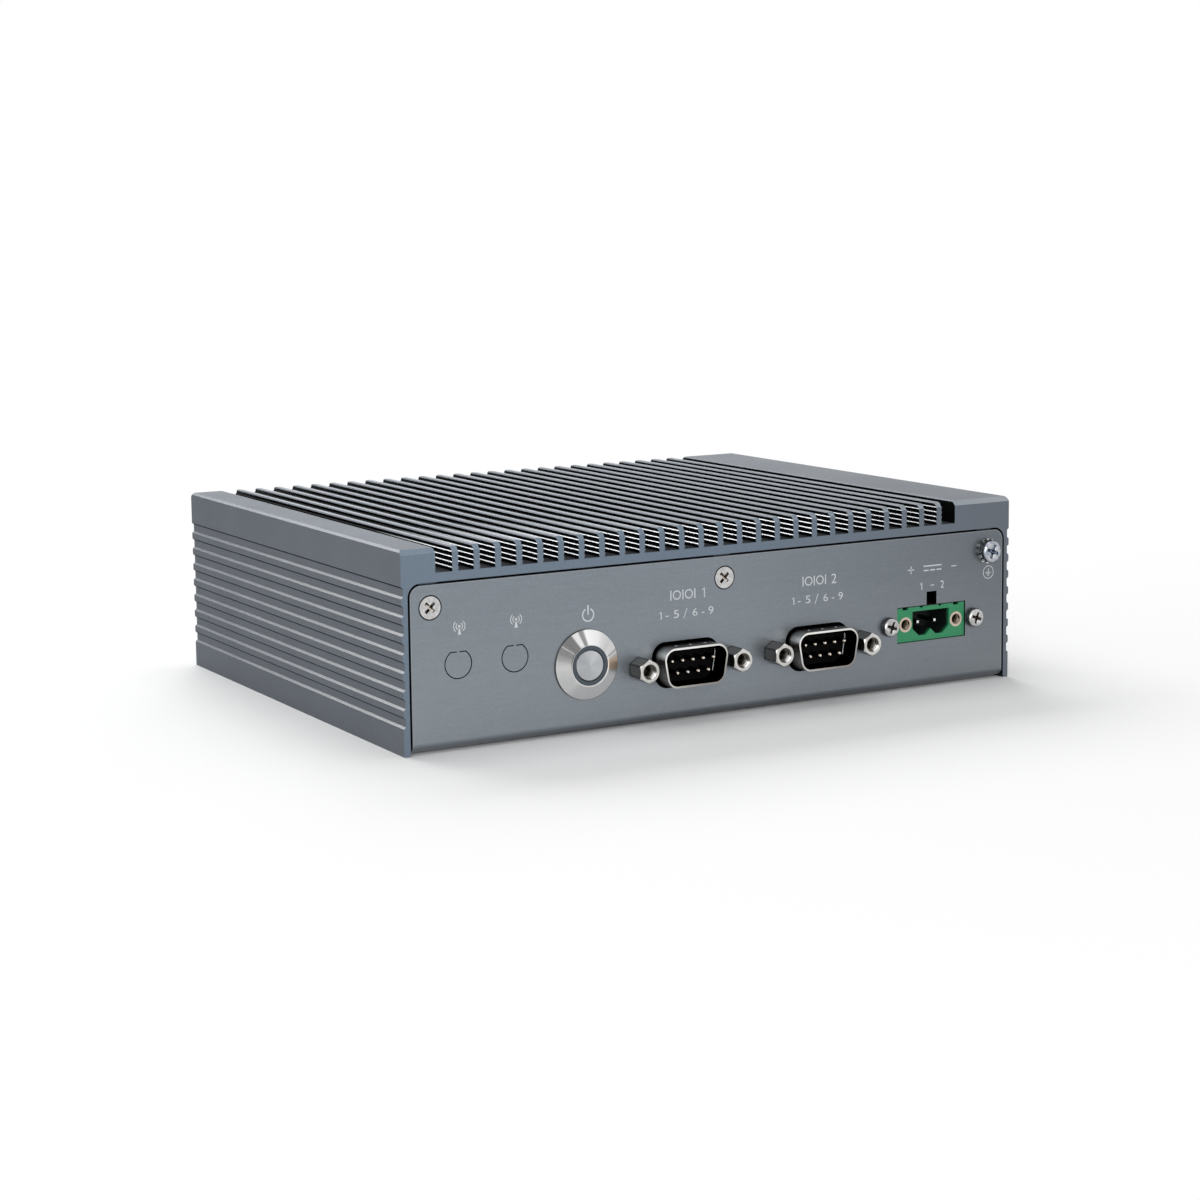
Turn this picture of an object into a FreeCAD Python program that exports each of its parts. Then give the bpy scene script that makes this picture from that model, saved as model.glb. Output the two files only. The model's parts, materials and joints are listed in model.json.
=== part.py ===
import FreeCAD, Part
import math
import os

# Fanless industrial computer, in millimetres. +X right and +Z up as seen from its front
# panel, which faces -Y. The origin is under the middle of the whole part, on its base plane.

# Housing: one extrusion along Y
housing_width = 165.0
housing_depth = 126.0
housing_height = 45.0
wall = 1.5
roof = 2.0
edge_break = 0.5
end_chamfer = 1.1
left_flange = 8.2
end_gap = 3.95
fin_count = 26
fin_pitch = 5.22
fin_thickness = 1.7
fin_height = 5.4
fin_tip = 0.25
ridge_count = 4
ridge_pitch = 1.15
ridge_depth = 0.22
ridge_ledge = 0.25
ridge_first = 0.8
groove_count = 8
groove_pitch = 4.05
groove_opening = 2.6
groove_lip = 0.45
groove_depth = 0.5
groove_drop = 7.85
cavity_corner = 3.0

# Chassis: one folded sheet inside the housing
sheet = 1.2
bend_inside = 0.6
panel_gap = 0.42
base_lift = 0.6

# Threads are left plain: a tapped hole has its core size, and a screw sits in it by this much
thread_clearance = 0.04
m3_core = 1.25
m3_hole = 1.7
m25_core = 1.05
m25_hole = 1.4

# Panel screws, in the three screw channels under the roof
panel_screw_inset = 6.8
panel_screw_middle = -0.6
panel_screw_drop = 5.1
channel_wall = 0.95
flat_head = 2.5
flat_head_depth = 1.15
flat_head_rim = 0.25
flat_head_sink = 0.03
flat_head_seat = 0.02
panel_screw_length = 8.0
screw_tip = 0.35

# Cross recesses, as shares of a head's radius and height, and their turn in degrees
cross_arm = 0.23
cross_foot = 0.4
cross_core = 0.42
flat_cross_reach = 0.62
flat_cross_depth = 0.9
flat_cross_turn = 45
pan_cross_reach = 0.68
pan_cross_depth = 0.6
pan_cross_turn = 20
pan_crown = 0.3

# Ground screw and its toothed washer
ground_head = 2.5
ground_head_height = 1.9
washer_outside = 3.05
washer_inside = 1.6
washer_thickness = 0.6
washer_teeth = 12
washer_tooth = 0.7
washer_tooth_width = 0.8
washer_tooth_tilt = 20

# Two knock-outs for aerial sockets
knockout_x = (-69.2, -55.3)
knockout_height = 19.15
knockout_radius = 3.35
knockout_flat = 2.8
knockout_slot = 0.24
knockout_bridge = 0.6

# Power switch
switch_x = -37.4
switch_height = 15.7
bezel_radius = 8.0
bezel_rim = 0.35
bezel_rise = 1.9
bezel_lip = 0.3
ring_outside = 4.5
ring_fit = 0.05
ring_sink = 0.05
barrel_radius = 6.0
barrel_fit = 0.1
barrel_length = 13.0
button_radius = 3.5
button_clearance = 0.12
button_thickness = 1.5
button_recess = 0.1
button_edge = 0.15
button_travel = 1.5
stem_radius = 1.5
stem_fit = 0.06
stem_end = 5.5
stem_spare = 0.5
contact_face = 3.5
contact_block_length = 6.0
spring_wire = 0.4
spring_radius = 2.45
spring_turns = 3.5
spring_seat = 0.02
switch_nut_thickness = 2.5
switch_nut_flats = 14.0
lug_width = 2.0
lug_thickness = 0.5
lug_length = 4.0
lug_columns = (-3.2, 0, 3.2)
lug_rows = (-2.4, 2.4)

# Serial ports
serial_x = (-11.3, 25.2)
serial_height = 13.3
jack_spacing = 24.99
shell_inside_width = 16.92
shell_inside_height = 8.36
shell_wall = 0.45
shell_corner = 2.3
shell_slope = 10.0
shell_rise = 4.9
shell_flange_width = 30.8
shell_flange_height = 12.5
shell_flange_thickness = 0.8
shell_flange_corner = 1.5
shell_hole = 1.6
dimple_pitch = 3.9
dimple_radius = 0.75
dimple_depth = 0.22
dimple_back = 2.3
cutout_clearance = 0.75
insulator_fit = 0.03
insulator_face = 0.3
insulator_step = 0.35
insulator_island_inset = 1.3
insulator_block_width = 21.0
insulator_block_depth = 8.0
insulator_block_rise = 5.0
pin_pitch = 2.77
pin_row_gap = 2.84
pin_radius = 0.5
pin_reach = 3.45
pin_seat = 2.5
pin_fit = 0.02
pin_tip = 0.25
pin_taper = 0.35
jack_flats = 4.8
jack_length = 5.05
jack_bore = 1.4
jack_bore_depth = 4.0
jack_edge = 0.35
jack_stud = 1.4
jack_stud_length = 5.5

# Supply header
header_x = 58.85
header_height = 15.95
header_width = 20.3
header_tall = 8.5
header_fit = 0.12
header_recess = 0.3
header_depth = 12.0
header_ear = 15.4
header_ear_thickness = 3.0
header_pitch = 5.08
header_insert_pitch = 15.24
header_screw_pitch = 25.5
header_pocket_width = 11.0
header_pocket_top = 3.0
header_pocket_bottom = 3.0
header_pocket_depth = 8.0
header_pocket_shoulder = 0.9
header_pocket_lobe = 1.0
header_pocket_rise = 0.4
header_notch_width = 1.6
header_notch_depth = 0.7
header_notch_length = 3.2
header_groove_spacing = 5.6
header_skin = 0.01
latch_notch_width = 3.0
latch_notch_height = 3.2
insert_outside = 1.85
insert_bore = 1.25
insert_length = 6.0
insert_proud = 0.05
supply_pin = 0.9
supply_pin_recess = 2.1
supply_pin_tail = 2.5
header_screw_head = 2.1
header_screw_head_height = 1.6
header_screw_length = 4.5

# Board and what carries it
board_standoff_height = 3.4
board_thickness = 1.6
board_side_gap = 9.0
board_front_gap = 1.4
board_rear_gap = 0.8
board_screw_inset_x = 4.5
board_screw_front = 17.0
board_screw_rear = 26.0
standoff_radius = 2.5
standoff_spigot = 1.6
board_screw_head = 2.6
board_screw_head_height = 1.8
board_screw_length = 4.5

# Bracket nuts pressed into the base
bracket_spacing = 75.0
bracket_nut_bore = 1.65
bracket_nut_shank = 2.7
bracket_nut_flange = 4.0
bracket_nut_rise = 1.6
press_gap = 0.02

# Rear connectors, standing on the board and passing through the rear panel
connector_proud = 0.5
connector_gap = 0.3
shield = 0.35
lan_x = (-8.0, 11.0)
lan_width = 16.0
lan_tall = 13.4
lan_depth = 21.0
lan_opening_width = 11.8
lan_opening_tall = 6.8
lan_opening_floor = 3.4
lan_key_width = 6.2
lan_key_tall = 1.6
lan_latch_width = 3.6
lan_latch_tall = 1.2
lan_opening_depth = 12.5
lan_insert_sink = 0.1
lan_contact_count = 8
lan_contact_pitch = 1.02
lan_contact_width = 0.3
lan_contact_front = 3.0
lan_contact_drop = 2.2
usb_x = (33.0, 51.0)
usb_width = 13.1
usb_tall = 15.6
usb_depth = 17.5
usb_opening_width = 12.3
usb_opening_tall = 5.1
usb_port_pitch = 7.9
usb_opening_depth = 11.0
usb_tongue_width = 9.6
usb_tongue_tall = 1.9
usb_tongue_drop = 0.6
usb_contact_count = 4
usb_contact_pitch = 2.3
usb_contact_width = 1.0
usb_contact_front = 1.6
usb_contact_back = 1.0
usb_contact_thickness = 0.15
tongue_sink = 0.8
video_x = (-61.0, -38.0)
video_width = (15.0, 16.6)
video_taper = (1.9, 1.5)
video_tall = 5.6
video_depth = 12.0
video_tongue_tall = 1.2
video_tongue_side = 2.2
video_opening_depth = 8.0

# Parts on the board
processor_x = 34.0
processor_y = 0.0
processor_width = 28.0
processor_length = 24.0
processor_base = 0.8
die_width = 13.0
die_length = 10.0
die_height = 0.8
pad_thickness = 0.5
pad_margin = 1.0
block_width = 54.0
block_length = 48.0
block_neck_width = 20.0
block_neck_length = 18.0
block_neck = 14.0
block_screw_inset = 5.0
block_leg_radius = 4.0
block_bore_depth = 6.0
block_screw_head = 2.6
block_screw_head_height = 1.5
block_screw_end = 1.2
memory_x = -33.0
memory_y = 14.0
memory_width = 67.6
memory_length = 30.0
memory_thickness = 1.0
memory_lift = 1.6
memory_chip = 1.0
memory_chip_width = 10.5
memory_chip_length = 9.0
memory_chip_pitch = 14.5
memory_chip_offset = 4.0
memory_chip_count = 4
memory_grip = 3.0
memory_key = 1.5
memory_key_offset = 4.05
memory_key_depth = 3.5
socket_depth = 7.0
socket_height = 4.0
socket_arm = 2.5
socket_arm_gap = 0.2
socket_arm_short = 4.0
ssd_x = -42.0
ssd_y = -21.0
ssd_width = 42.0
ssd_length = 22.0
ssd_thickness = 0.8
ssd_lift = 2.2
ssd_chip = 1.2
ssd_chip_width = 12.0
ssd_chip_length = 16.0
ssd_chip_places = (-9.5, 5.0)
ssd_side_gap = 1.0
ssd_grip = 4.0
ssd_notch = 1.4
ssd_socket_depth = 6.0
ssd_socket_height = 4.2
ssd_screw_head = 2.3
ssd_screw_head_height = 0.9
ssd_screw_short = 0.3
cell_x = -6.5
cell_y = -25.0
cell_radius = 10.0
cell_height = 3.2
cell_wall = 1.2
cell_floor = 0.8
cell_gap = 0.1
cell_cup = 2.56
cell_window = 10.0
cell_step = 1.4
cell_step_height = 0.5
cell_slope = 0.3
choke_count = 4
choke_side = 6.6
choke_height = 3.8
choke_corner = 0.8
choke_pitch = 9.0
choke_x = 18.0
choke_y = -33.0
capacitor_count = 3
capacitor_radius = 3.15
capacitor_height = 6.8
capacitor_foot = 0.8
capacitor_pitch = 8.0
capacitor_x = 53.0
capacitor_y = -35.0
chip_side = 8.0
chip_height = 0.9
chip_y = 38.5

# Places that follow from the sizes above
housing_half = housing_width / 2
front_reach = max(jack_length, shell_rise)
front_y = (front_reach - connector_proud - housing_depth) / 2
rear_y = front_y + housing_depth
gap_floor = housing_height - fin_height
roof_under = gap_floor - roof
panel_top = roof_under - panel_gap
panel_half = housing_half - wall - panel_gap
panel_corner = cavity_corner - panel_gap
panel_back = front_y + sheet
rear_panel_back = rear_y - sheet
base_top = base_lift + sheet
board_under = base_top + board_standoff_height
board_top = board_under + board_thickness
board_half = housing_half - board_side_gap
board_front = panel_back + board_front_gap
board_rear = rear_panel_back - board_rear_gap
side_screw_x = housing_half - panel_screw_inset
panel_screw_x = (-side_screw_x, panel_screw_middle, side_screw_x)
panel_screw_height = panel_top - panel_screw_drop
overrun = 1.0


def point(x, y, z):
    return FreeCAD.Vector(x, y, z)


def box(x0, x1, y0, y1, z0, z1):
    return Part.makeBox(x1 - x0, y1 - y0, z1 - z0, point(x0, y0, z0))


def rod(x, z, y0, y1, radius):
    """Round bar along Y."""
    return Part.makeCylinder(radius, y1 - y0, point(x, y0, z), point(0, 1, 0))


def post(x, y, z0, z1, radius):
    """Round bar along Z."""
    return Part.makeCylinder(radius, z1 - z0, point(x, y, z0), point(0, 0, 1))


def turned(x, z, profile):
    """Solid of revolution about a line along Y through (x, z); profile is (radius, y)."""
    corners = [point(x + radius, y, z) for radius, y in profile]
    face = Part.Face(Part.makePolygon(corners + corners[:1]))
    return face.revolve(point(x, 0, z), point(0, 1, 0), 360)


def turned_up(x, y, profile):
    """Solid of revolution about a line along Z through (x, y); profile is (radius, z)."""
    corners = [point(x + radius, y, z) for radius, z in profile]
    face = Part.Face(Part.makePolygon(corners + corners[:1]))
    return face.revolve(point(x, y, 0), point(0, 0, 1), 360)


def hexagon(x, z, y0, y1, flats):
    """Hexagonal bar along Y with two corners up and down."""
    reach = flats / math.sqrt(3)
    corners = []
    for turn in range(7):
        angle = math.radians(90 + 60 * turn)
        corners.append(point(x + reach * math.cos(angle), y0, z + reach * math.sin(angle)))
    return Part.Face(Part.makePolygon(corners)).extrude(point(0, y1 - y0, 0))


def plate(corners, y0, y1):
    """Prism along Y of a closed outline; corners are (x, z, radius) in order."""
    edges = []
    runs = []
    count = len(corners)
    for index, (x, z, radius) in enumerate(corners):
        here = point(x, y0, z)
        last_x, last_z, _ = corners[index - 1]
        next_x, next_z, _ = corners[(index + 1) % count]
        back = point(last_x, y0, last_z) - here
        ahead = point(next_x, y0, next_z) - here
        back.normalize()
        ahead.normalize()
        half_angle = back.getAngle(ahead) / 2
        if radius > 0:
            reach = radius / math.tan(half_angle)
            middle = back + ahead
            middle.normalize()
            middle = here + middle * (radius / math.sin(half_angle) - radius)
            first = here + back * reach
            last = here + ahead * reach
            edges.append(Part.Arc(first, middle, last).toShape())
            runs.append((first, last))
        else:
            runs.append((here, here))
    for index in range(count):
        start = runs[index][1]
        end = runs[(index + 1) % count][0]
        edges.append(Part.LineSegment(start, end).toShape())
    outline = Part.Wire(Part.__sortEdges__(edges))
    return Part.Face(outline).extrude(point(0, y1 - y0, 0))


def slab(x0, x1, z0, z1, y0, y1, radius):
    """Upright plate with four rounded corners."""
    return plate([(x0, z0, radius), (x1, z0, radius), (x1, z1, radius), (x0, z1, radius)], y0, y1)


def joined(shapes):
    whole = shapes[0]
    for shape in shapes[1:]:
        whole = whole.fuse(shape)
    return whole.removeSplitter()


def group(shapes):
    """Separate solids that share one node."""
    return Part.makeCompound(shapes)


def cross_recess(x, z, y, reach, depth, turn):
    """Cross with tapering arms round a conical core, for a head whose face is at y."""
    half = reach * cross_arm
    foot = reach * cross_foot
    slim = half * cross_foot
    upright = Part.makeWedge(-half, 0, -reach, -foot, -slim, half, depth, reach, foot, slim)
    across = Part.makeWedge(-reach, 0, -half, -slim, -foot, reach, depth, half, slim, foot)
    core = turned(0, 0, [(0, 0), (reach * cross_core, 0), (slim, depth), (0, depth)])
    cross = joined([upright, across, core])
    cross.rotate(point(0, 0, 0), point(0, 1, 0), turn)
    cross.translate(point(x, y, z))
    return cross


# Housing

def fin_side(crest, inward):
    """Points up one side of a fin, from the gap floor to the tip; inward is +1 or -1."""
    valley = crest + inward * ridge_depth
    side = [(valley, gap_floor)]
    for ridge in range(ridge_count):
        height = gap_floor + ridge_first + ridge * ridge_pitch
        side.append((crest, height))
        side.append((valley, height + ridge_ledge))
    side.append((crest, housing_height - fin_tip))
    side.append((crest + inward * fin_tip, housing_height))
    return side


def wall_side(x, inward):
    """Points up one grooved side wall; inward is +1 or -1. Each groove has two sloping lips."""
    floor = x + inward * groove_depth
    side = [(x, 0)]
    for groove in reversed(range(groove_count)):
        top = housing_height - groove_drop - groove * groove_pitch
        bottom = top - groove_opening
        side += [(x, bottom), (floor, bottom + groove_lip), (floor, top - groove_lip), (x, top)]
    side.append((x, housing_height - edge_break))
    return side


def housing_block():
    """Full extrusion, before its inside is opened."""
    flange_edge = -housing_half + left_flange
    outline = wall_side(-housing_half, 1)
    outline.append((-housing_half + edge_break, housing_height))
    outline += [(flange_edge - fin_tip, housing_height), (flange_edge, housing_height - fin_tip)]
    outline.append((flange_edge, gap_floor))
    for fin in range(fin_count):
        left = flange_edge + end_gap + fin * fin_pitch
        outline += fin_side(left, 1)
        outline += reversed(fin_side(left + fin_thickness, -1))
    right_edge = flange_edge + 2 * end_gap + (fin_count - 1) * fin_pitch + fin_thickness
    outline += [(right_edge, gap_floor), (right_edge, housing_height - fin_tip)]
    outline += [(right_edge + fin_tip, housing_height), (housing_half - edge_break, housing_height)]
    outline += reversed(wall_side(housing_half, -1))
    corners = [point(x, front_y, z) for x, z in outline]
    face = Part.Face(Part.makePolygon(corners + corners[:1]))
    return face.extrude(point(0, housing_depth, 0))


def end_chamfer_wedge(y, inward):
    """Prism that takes the edge off the top at one end, across flanges and fins."""
    far = end_chamfer + overrun
    left = -housing_half - overrun
    outer = y - inward * overrun
    above = housing_height + overrun
    corners = [point(left, y + inward * far, above)]
    corners += [point(left, outer, housing_height - far), point(left, outer, above)]
    face = Part.Face(Part.makePolygon(corners + corners[:1]))
    return face.extrude(point(housing_width + 2 * overrun, 0, 0))


def make_housing():
    block = housing_block()
    inside = housing_half - wall
    cavity = plate(
        [
            (-inside, -overrun, 0),
            (inside, -overrun, 0),
            (inside, roof_under, cavity_corner),
            (-inside, roof_under, cavity_corner),
        ],
        front_y - overrun,
        rear_y + overrun,
    )
    shell = block.cut(cavity)
    shell = shell.cut(group([end_chamfer_wedge(front_y, 1), end_chamfer_wedge(rear_y, -1)]))
    channel_radius = m3_core + channel_wall
    channels = []
    bores = []
    for x in panel_screw_x:
        drop = rod(x, panel_screw_height, panel_back, rear_panel_back, channel_radius)
        stem = box(
            x - channel_radius,
            x + channel_radius,
            panel_back,
            rear_panel_back,
            panel_screw_height,
            roof_under + roof / 2,
        )
        channels.append(drop.fuse(stem).removeSplitter())
        bores.append(rod(x, panel_screw_height, front_y, rear_y, m3_core))
    shell = shell.fuse(channels)
    return shell.cut(group(bores))


# Chassis

def folded_tray():
    """Front panel, base and rear panel in one sheet, with a bend at each end of the base."""
    outer = bend_inside + sheet
    half = panel_half
    far = half + overrun
    outside = box(-half, half, front_y, rear_y, base_lift, panel_top)
    inside = box(-far, far, panel_back, rear_panel_back, base_top, panel_top + overrun)
    outside = outside.makeFillet(outer, edges_along_x(outside, base_lift))
    inside = inside.makeFillet(bend_inside, edges_along_x(inside, base_top))
    return outside.cut(inside)


def edges_along_x(shape, height):
    """The edges of a box that run along X at one height."""
    found = []
    for edge in shape.Edges:
        bounds = edge.BoundBox
        if bounds.XLength > bounds.YLength and abs(bounds.ZMax - height) < 1e-6:
            found.append(edge)
    return found


def corner_trims(y0, y1):
    """What is cut off the two top corners of a panel to round them."""
    trims = []
    radius = panel_corner
    for side in (-1, 1):
        edge = side * panel_half
        inner = edge - side * radius
        x0, x1 = sorted((edge + side * overrun, inner))
        square = box(x0, x1, y0, y1, panel_top - radius, panel_top + overrun)
        trims.append(square.cut(rod(inner, panel_top - radius, y0, y1, radius)))
    return trims


def knockout_outline(x, radius, flat, y0, y1):
    """D shape: a disc with its top cut flat."""
    disc = rod(x, knockout_height, y0, y1, radius)
    top = knockout_height + flat
    return disc.cut(box(x - radius, x + radius, y0, y1, top, top + radius))


def knockout_cut(x):
    """Slot round a knock-out, left whole at a bridge on top."""
    y0 = front_y - overrun
    y1 = panel_back + overrun
    outer = knockout_outline(x, knockout_radius, knockout_flat, y0, y1)
    inner_flat = knockout_flat - knockout_slot
    inner = knockout_outline(x, knockout_radius - knockout_slot, inner_flat, y0, y1)
    bridge_half = knockout_bridge / 2
    top = knockout_height + knockout_radius
    bridge = box(x - bridge_half, x + bridge_half, y0, y1, knockout_height, top)
    return outer.cut(inner).cut(bridge)


def countersink(x, y, inward):
    """Hole for a flat-head screw, widening to the outer face at y."""
    mouth = flat_head + flat_head_rim + flat_head_sink + flat_head_seat
    start = mouth + overrun
    throat = y + inward * (mouth - m3_hole)
    end = y + inward * (sheet + overrun)
    profile = [(0, y - inward * overrun), (start, y - inward * overrun)]
    profile += [(m3_hole, throat), (m3_hole, end), (0, end)]
    return turned(x, panel_screw_height, profile)


def d_outline(x, z, width, height, radius):
    """Trapezoid of a D-shaped shell: wide side up."""
    lean = height * math.tan(math.radians(shell_slope))
    top = z + height / 2
    bottom = z - height / 2
    return [
        (x - width / 2 + lean, bottom, radius),
        (x + width / 2 - lean, bottom, radius),
        (x + width / 2, top, radius),
        (x - width / 2, top, radius),
    ]


def d_prism(x, grow, y0, y1):
    """D-shaped prism of a serial port; grow is measured out from the shell's inside."""
    width = shell_inside_width + 2 * grow
    height = shell_inside_height + 2 * grow
    return plate(d_outline(x, serial_height, width, height, shell_corner + grow), y0, y1)


def lan_box(x):
    return (x - lan_width / 2, x + lan_width / 2, board_top, board_top + lan_tall)


def usb_box(x):
    return (x - usb_width / 2, x + usb_width / 2, board_top, board_top + usb_tall)


def rear_hole(bounds):
    """Hole in the rear panel around a connector given as (x0, x1, z0, z1)."""
    x0, x1, z0, z1 = bounds
    gap = connector_gap
    y0 = rear_panel_back - overrun
    y1 = rear_y + overrun
    return slab(x0 - gap, x1 + gap, z0 - gap, z1 + gap, y0, y1, gap)


def video_outline(port, grow):
    """Outline of a flat video socket with its two lower corners cut off."""
    x = video_x[port]
    taper = video_taper[port]
    half = video_width[port] / 2 + grow
    low = board_top - grow
    high = board_top + video_tall + grow
    return [
        (x - half + taper, low, 0),
        (x + half - taper, low, 0),
        (x + half, low + taper, 0),
        (x + half, high, 0),
        (x - half, high, 0),
        (x - half, low + taper, 0),
    ]


def front_cuts():
    y0 = front_y - overrun
    y1 = panel_back + overrun
    cuts = [countersink(x, front_y, 1) for x in panel_screw_x[:2]]
    cuts.append(rod(panel_screw_x[2], panel_screw_height, y0, y1, m3_hole))
    cuts += [knockout_cut(x) for x in knockout_x]
    cuts.append(rod(switch_x, switch_height, y0, y1, barrel_radius + barrel_fit))
    for x in serial_x:
        cuts.append(d_prism(x, shell_wall + cutout_clearance, y0, y1))
        for side in (-1, 1):
            cuts.append(rod(x + side * jack_spacing / 2, serial_height, y0, y1, shell_hole))
    half = header_width / 2 + header_fit
    low = header_height - header_tall / 2 - header_fit
    high = header_height + header_tall / 2 + header_fit
    cuts.append(box(header_x - half, header_x + half, y0, y1, low, high))
    notch = latch_notch_width / 2
    notch_top = high + latch_notch_height
    cuts.append(box(header_x - notch, header_x + notch, y0, y1, header_height, notch_top))
    for side in (-1, 1):
        screw_x = header_x + side * header_screw_pitch / 2
        cuts.append(rod(screw_x, header_height, y0, y1, m25_hole))
    return cuts


def rear_cuts():
    cuts = [countersink(x, rear_y, -1) for x in panel_screw_x]
    cuts += [rear_hole(lan_box(x)) for x in lan_x]
    cuts += [rear_hole(usb_box(x)) for x in usb_x]
    y0 = rear_panel_back - overrun
    y1 = rear_y + overrun
    for port in range(len(video_x)):
        cuts.append(plate(video_outline(port, connector_gap), y0, y1))
    return cuts


def bracket_points():
    half = bracket_spacing / 2
    return [(x, y) for x in (-half, half) for y in (-half, half)]


def standoff_points():
    x = board_half - board_screw_inset_x
    rows = (board_front + board_screw_front, board_rear - board_screw_rear)
    return [(side * x, y) for side in (-1, 1) for y in rows]


def make_chassis():
    tray = folded_tray()
    cuts = front_cuts() + rear_cuts()
    cuts += corner_trims(front_y - overrun, rear_y + overrun)
    low = base_lift - overrun
    high = base_top + overrun
    cuts += [post(x, y, low, high, bracket_nut_shank + press_gap) for x, y in bracket_points()]
    cuts += [post(x, y, low, high, standoff_spigot + press_gap) for x, y in standoff_points()]
    for cut in cuts:
        tray = tray.cut(cut)
    return tray


# Screws

def flat_screw(x, y, inward):
    """Flat-head screw in a panel's countersink; inward is the way it points along Y."""
    shank = m3_core - thread_clearance
    face = y + inward * flat_head_sink
    under = face + inward * flat_head_depth
    tip = y + inward * panel_screw_length
    cone = flat_head_depth - flat_head_rim
    profile = [(0, face), (flat_head, face), (flat_head, face + inward * flat_head_rim)]
    profile += [(flat_head - cone, under), (shank, under)]
    profile += [(shank, tip - inward * screw_tip), (shank - screw_tip, tip), (0, tip)]
    body = turned(x, panel_screw_height, profile)
    reach = flat_head * flat_cross_reach
    recess = cross_recess(x, panel_screw_height, 0, reach, flat_cross_depth, flat_cross_turn)
    if inward < 0:
        recess = recess.mirror(point(0, 0, 0), point(0, 1, 0))
    recess.translate(point(0, face, 0))
    return body.cut(recess)


def pan_screw(x, z, seat, head, head_height, shank, length):
    """Pan-head screw from the front; seat is the face its head lies on."""
    crown = head * pan_crown
    bend = crown * pan_crown
    top = seat - head_height
    tip = seat + length
    profile = [(0, top), (head - crown, top), (head - bend, top + bend), (head, top + crown)]
    profile += [(head, seat), (shank, seat), (shank, tip - screw_tip), (shank - screw_tip, tip)]
    profile.append((0, tip))
    reach = head * pan_cross_reach
    depth = head_height * pan_cross_depth
    body = turned(x, z, profile)
    return body.cut(cross_recess(x, z, top, reach, depth, pan_cross_turn))


def pan_screw_down(x, y, seat, head, head_height, shank, length):
    """Pan-head screw driven down onto a seat at a height."""
    crown = head * pan_crown
    top = seat + head_height
    tip = seat - length
    profile = [(0, tip), (shank, tip), (shank, seat), (head, seat), (head, top - crown)]
    profile += [(head - crown, top), (0, top)]
    body = turned_up(x, y, profile)
    reach = head * pan_cross_reach
    half = reach * cross_arm
    depth = head_height * pan_cross_depth
    upright = box(x - half, x + half, y - reach, y + reach, top - depth, top + overrun)
    across = box(x - reach, x + reach, y - half, y + half, top - depth, top + overrun)
    return body.cut(upright).cut(across)


def make_front_screws():
    return group([flat_screw(x, front_y, 1) for x in panel_screw_x[:2]])


def make_rear_screws():
    return group([flat_screw(x, rear_y, -1) for x in panel_screw_x])


def make_ground_screw():
    return pan_screw(
        panel_screw_x[2],
        panel_screw_height,
        front_y - washer_thickness,
        ground_head,
        ground_head_height,
        m3_core - thread_clearance,
        panel_screw_length,
    )


def make_ground_washer():
    """Ring with twisted teeth on its outside that reach from the panel to the screw head."""
    x = panel_screw_x[2]
    seat = front_y - washer_thickness
    middle = front_y - washer_thickness / 2
    root = washer_outside - washer_tooth
    tilt = math.radians(washer_tooth_tilt)
    half = washer_tooth_width / 2
    thin = (washer_thickness / 2 - half * math.sin(tilt)) / math.cos(tilt)
    ring = rod(x, panel_screw_height, seat, front_y, root)
    pieces = [ring.cut(rod(x, panel_screw_height, seat - overrun, front_y + overrun, washer_inside))]
    for tooth in range(washer_teeth):
        inner = (washer_inside + root) / 2
        blade = box(inner, washer_outside, -thin, thin, -half, half)
        blade.rotate(point(0, 0, 0), point(1, 0, 0), washer_tooth_tilt)
        blade.rotate(point(0, 0, 0), point(0, 1, 0), tooth * 360 / washer_teeth)
        blade.translate(point(x, middle, panel_screw_height))
        pieces.append(blade)
    return joined(pieces)


def make_mount_nuts():
    """Clinch nuts: a flange on the base and a shank pressed into its hole."""
    nuts = []
    for x, y in bracket_points():
        shank = post(x, y, base_lift, base_top, bracket_nut_shank)
        flange = post(x, y, base_top, base_top + bracket_nut_rise, bracket_nut_flange)
        bore = post(x, y, base_lift - overrun, base_top + bracket_nut_rise + overrun, bracket_nut_bore)
        nuts.append(shank.fuse(flange).cut(bore))
    return group(nuts)


# Power switch

ring_hole = ring_outside + ring_fit
button_hole = button_radius + button_clearance
bezel_face = front_y - bezel_rise
button_face = bezel_face + button_recess
button_back = button_face + button_thickness
contact_front = front_y + contact_face
barrel_end = front_y + barrel_length


def make_switch_bezel():
    """Bevelled bezel and barrel, turned from one bar."""
    lip_outside = ring_hole + bezel_lip
    profile = [
        (ring_hole, bezel_face),
        (lip_outside, bezel_face),
        (bezel_radius, front_y - bezel_rim),
        (bezel_radius, front_y),
        (barrel_radius, front_y),
        (barrel_radius, barrel_end),
        (ring_hole, barrel_end),
    ]
    return turned(switch_x, switch_height, profile)


def make_switch_ring():
    """Light ring between the bezel and the disc, standing on the contact block."""
    profile = [
        (button_hole, bezel_face + ring_sink),
        (ring_outside, bezel_face + ring_sink),
        (ring_outside, contact_front),
        (button_hole, contact_front),
    ]
    return turned(switch_x, switch_height, profile)


def make_power_button():
    """Steel disc with its stem."""
    end = front_y + stem_end
    profile = [
        (0, button_face),
        (button_radius - button_edge, button_face),
        (button_radius, button_face + button_edge),
        (button_radius, button_back),
        (stem_radius, button_back),
        (stem_radius, end),
        (0, end),
    ]
    return turned(switch_x, switch_height, profile)


def make_switch_base():
    """Contact block in the barrel, with a bore that guides the stem."""
    bore = stem_radius + stem_fit
    bore_end = front_y + stem_end + button_travel + stem_spare
    block_end = barrel_end + contact_block_length
    profile = [
        (bore, contact_front),
        (ring_outside, contact_front),
        (ring_outside, barrel_end),
        (barrel_radius, barrel_end),
        (barrel_radius, block_end),
        (0, block_end),
        (0, bore_end),
        (bore, bore_end),
    ]
    return turned(switch_x, switch_height, profile)


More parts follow.
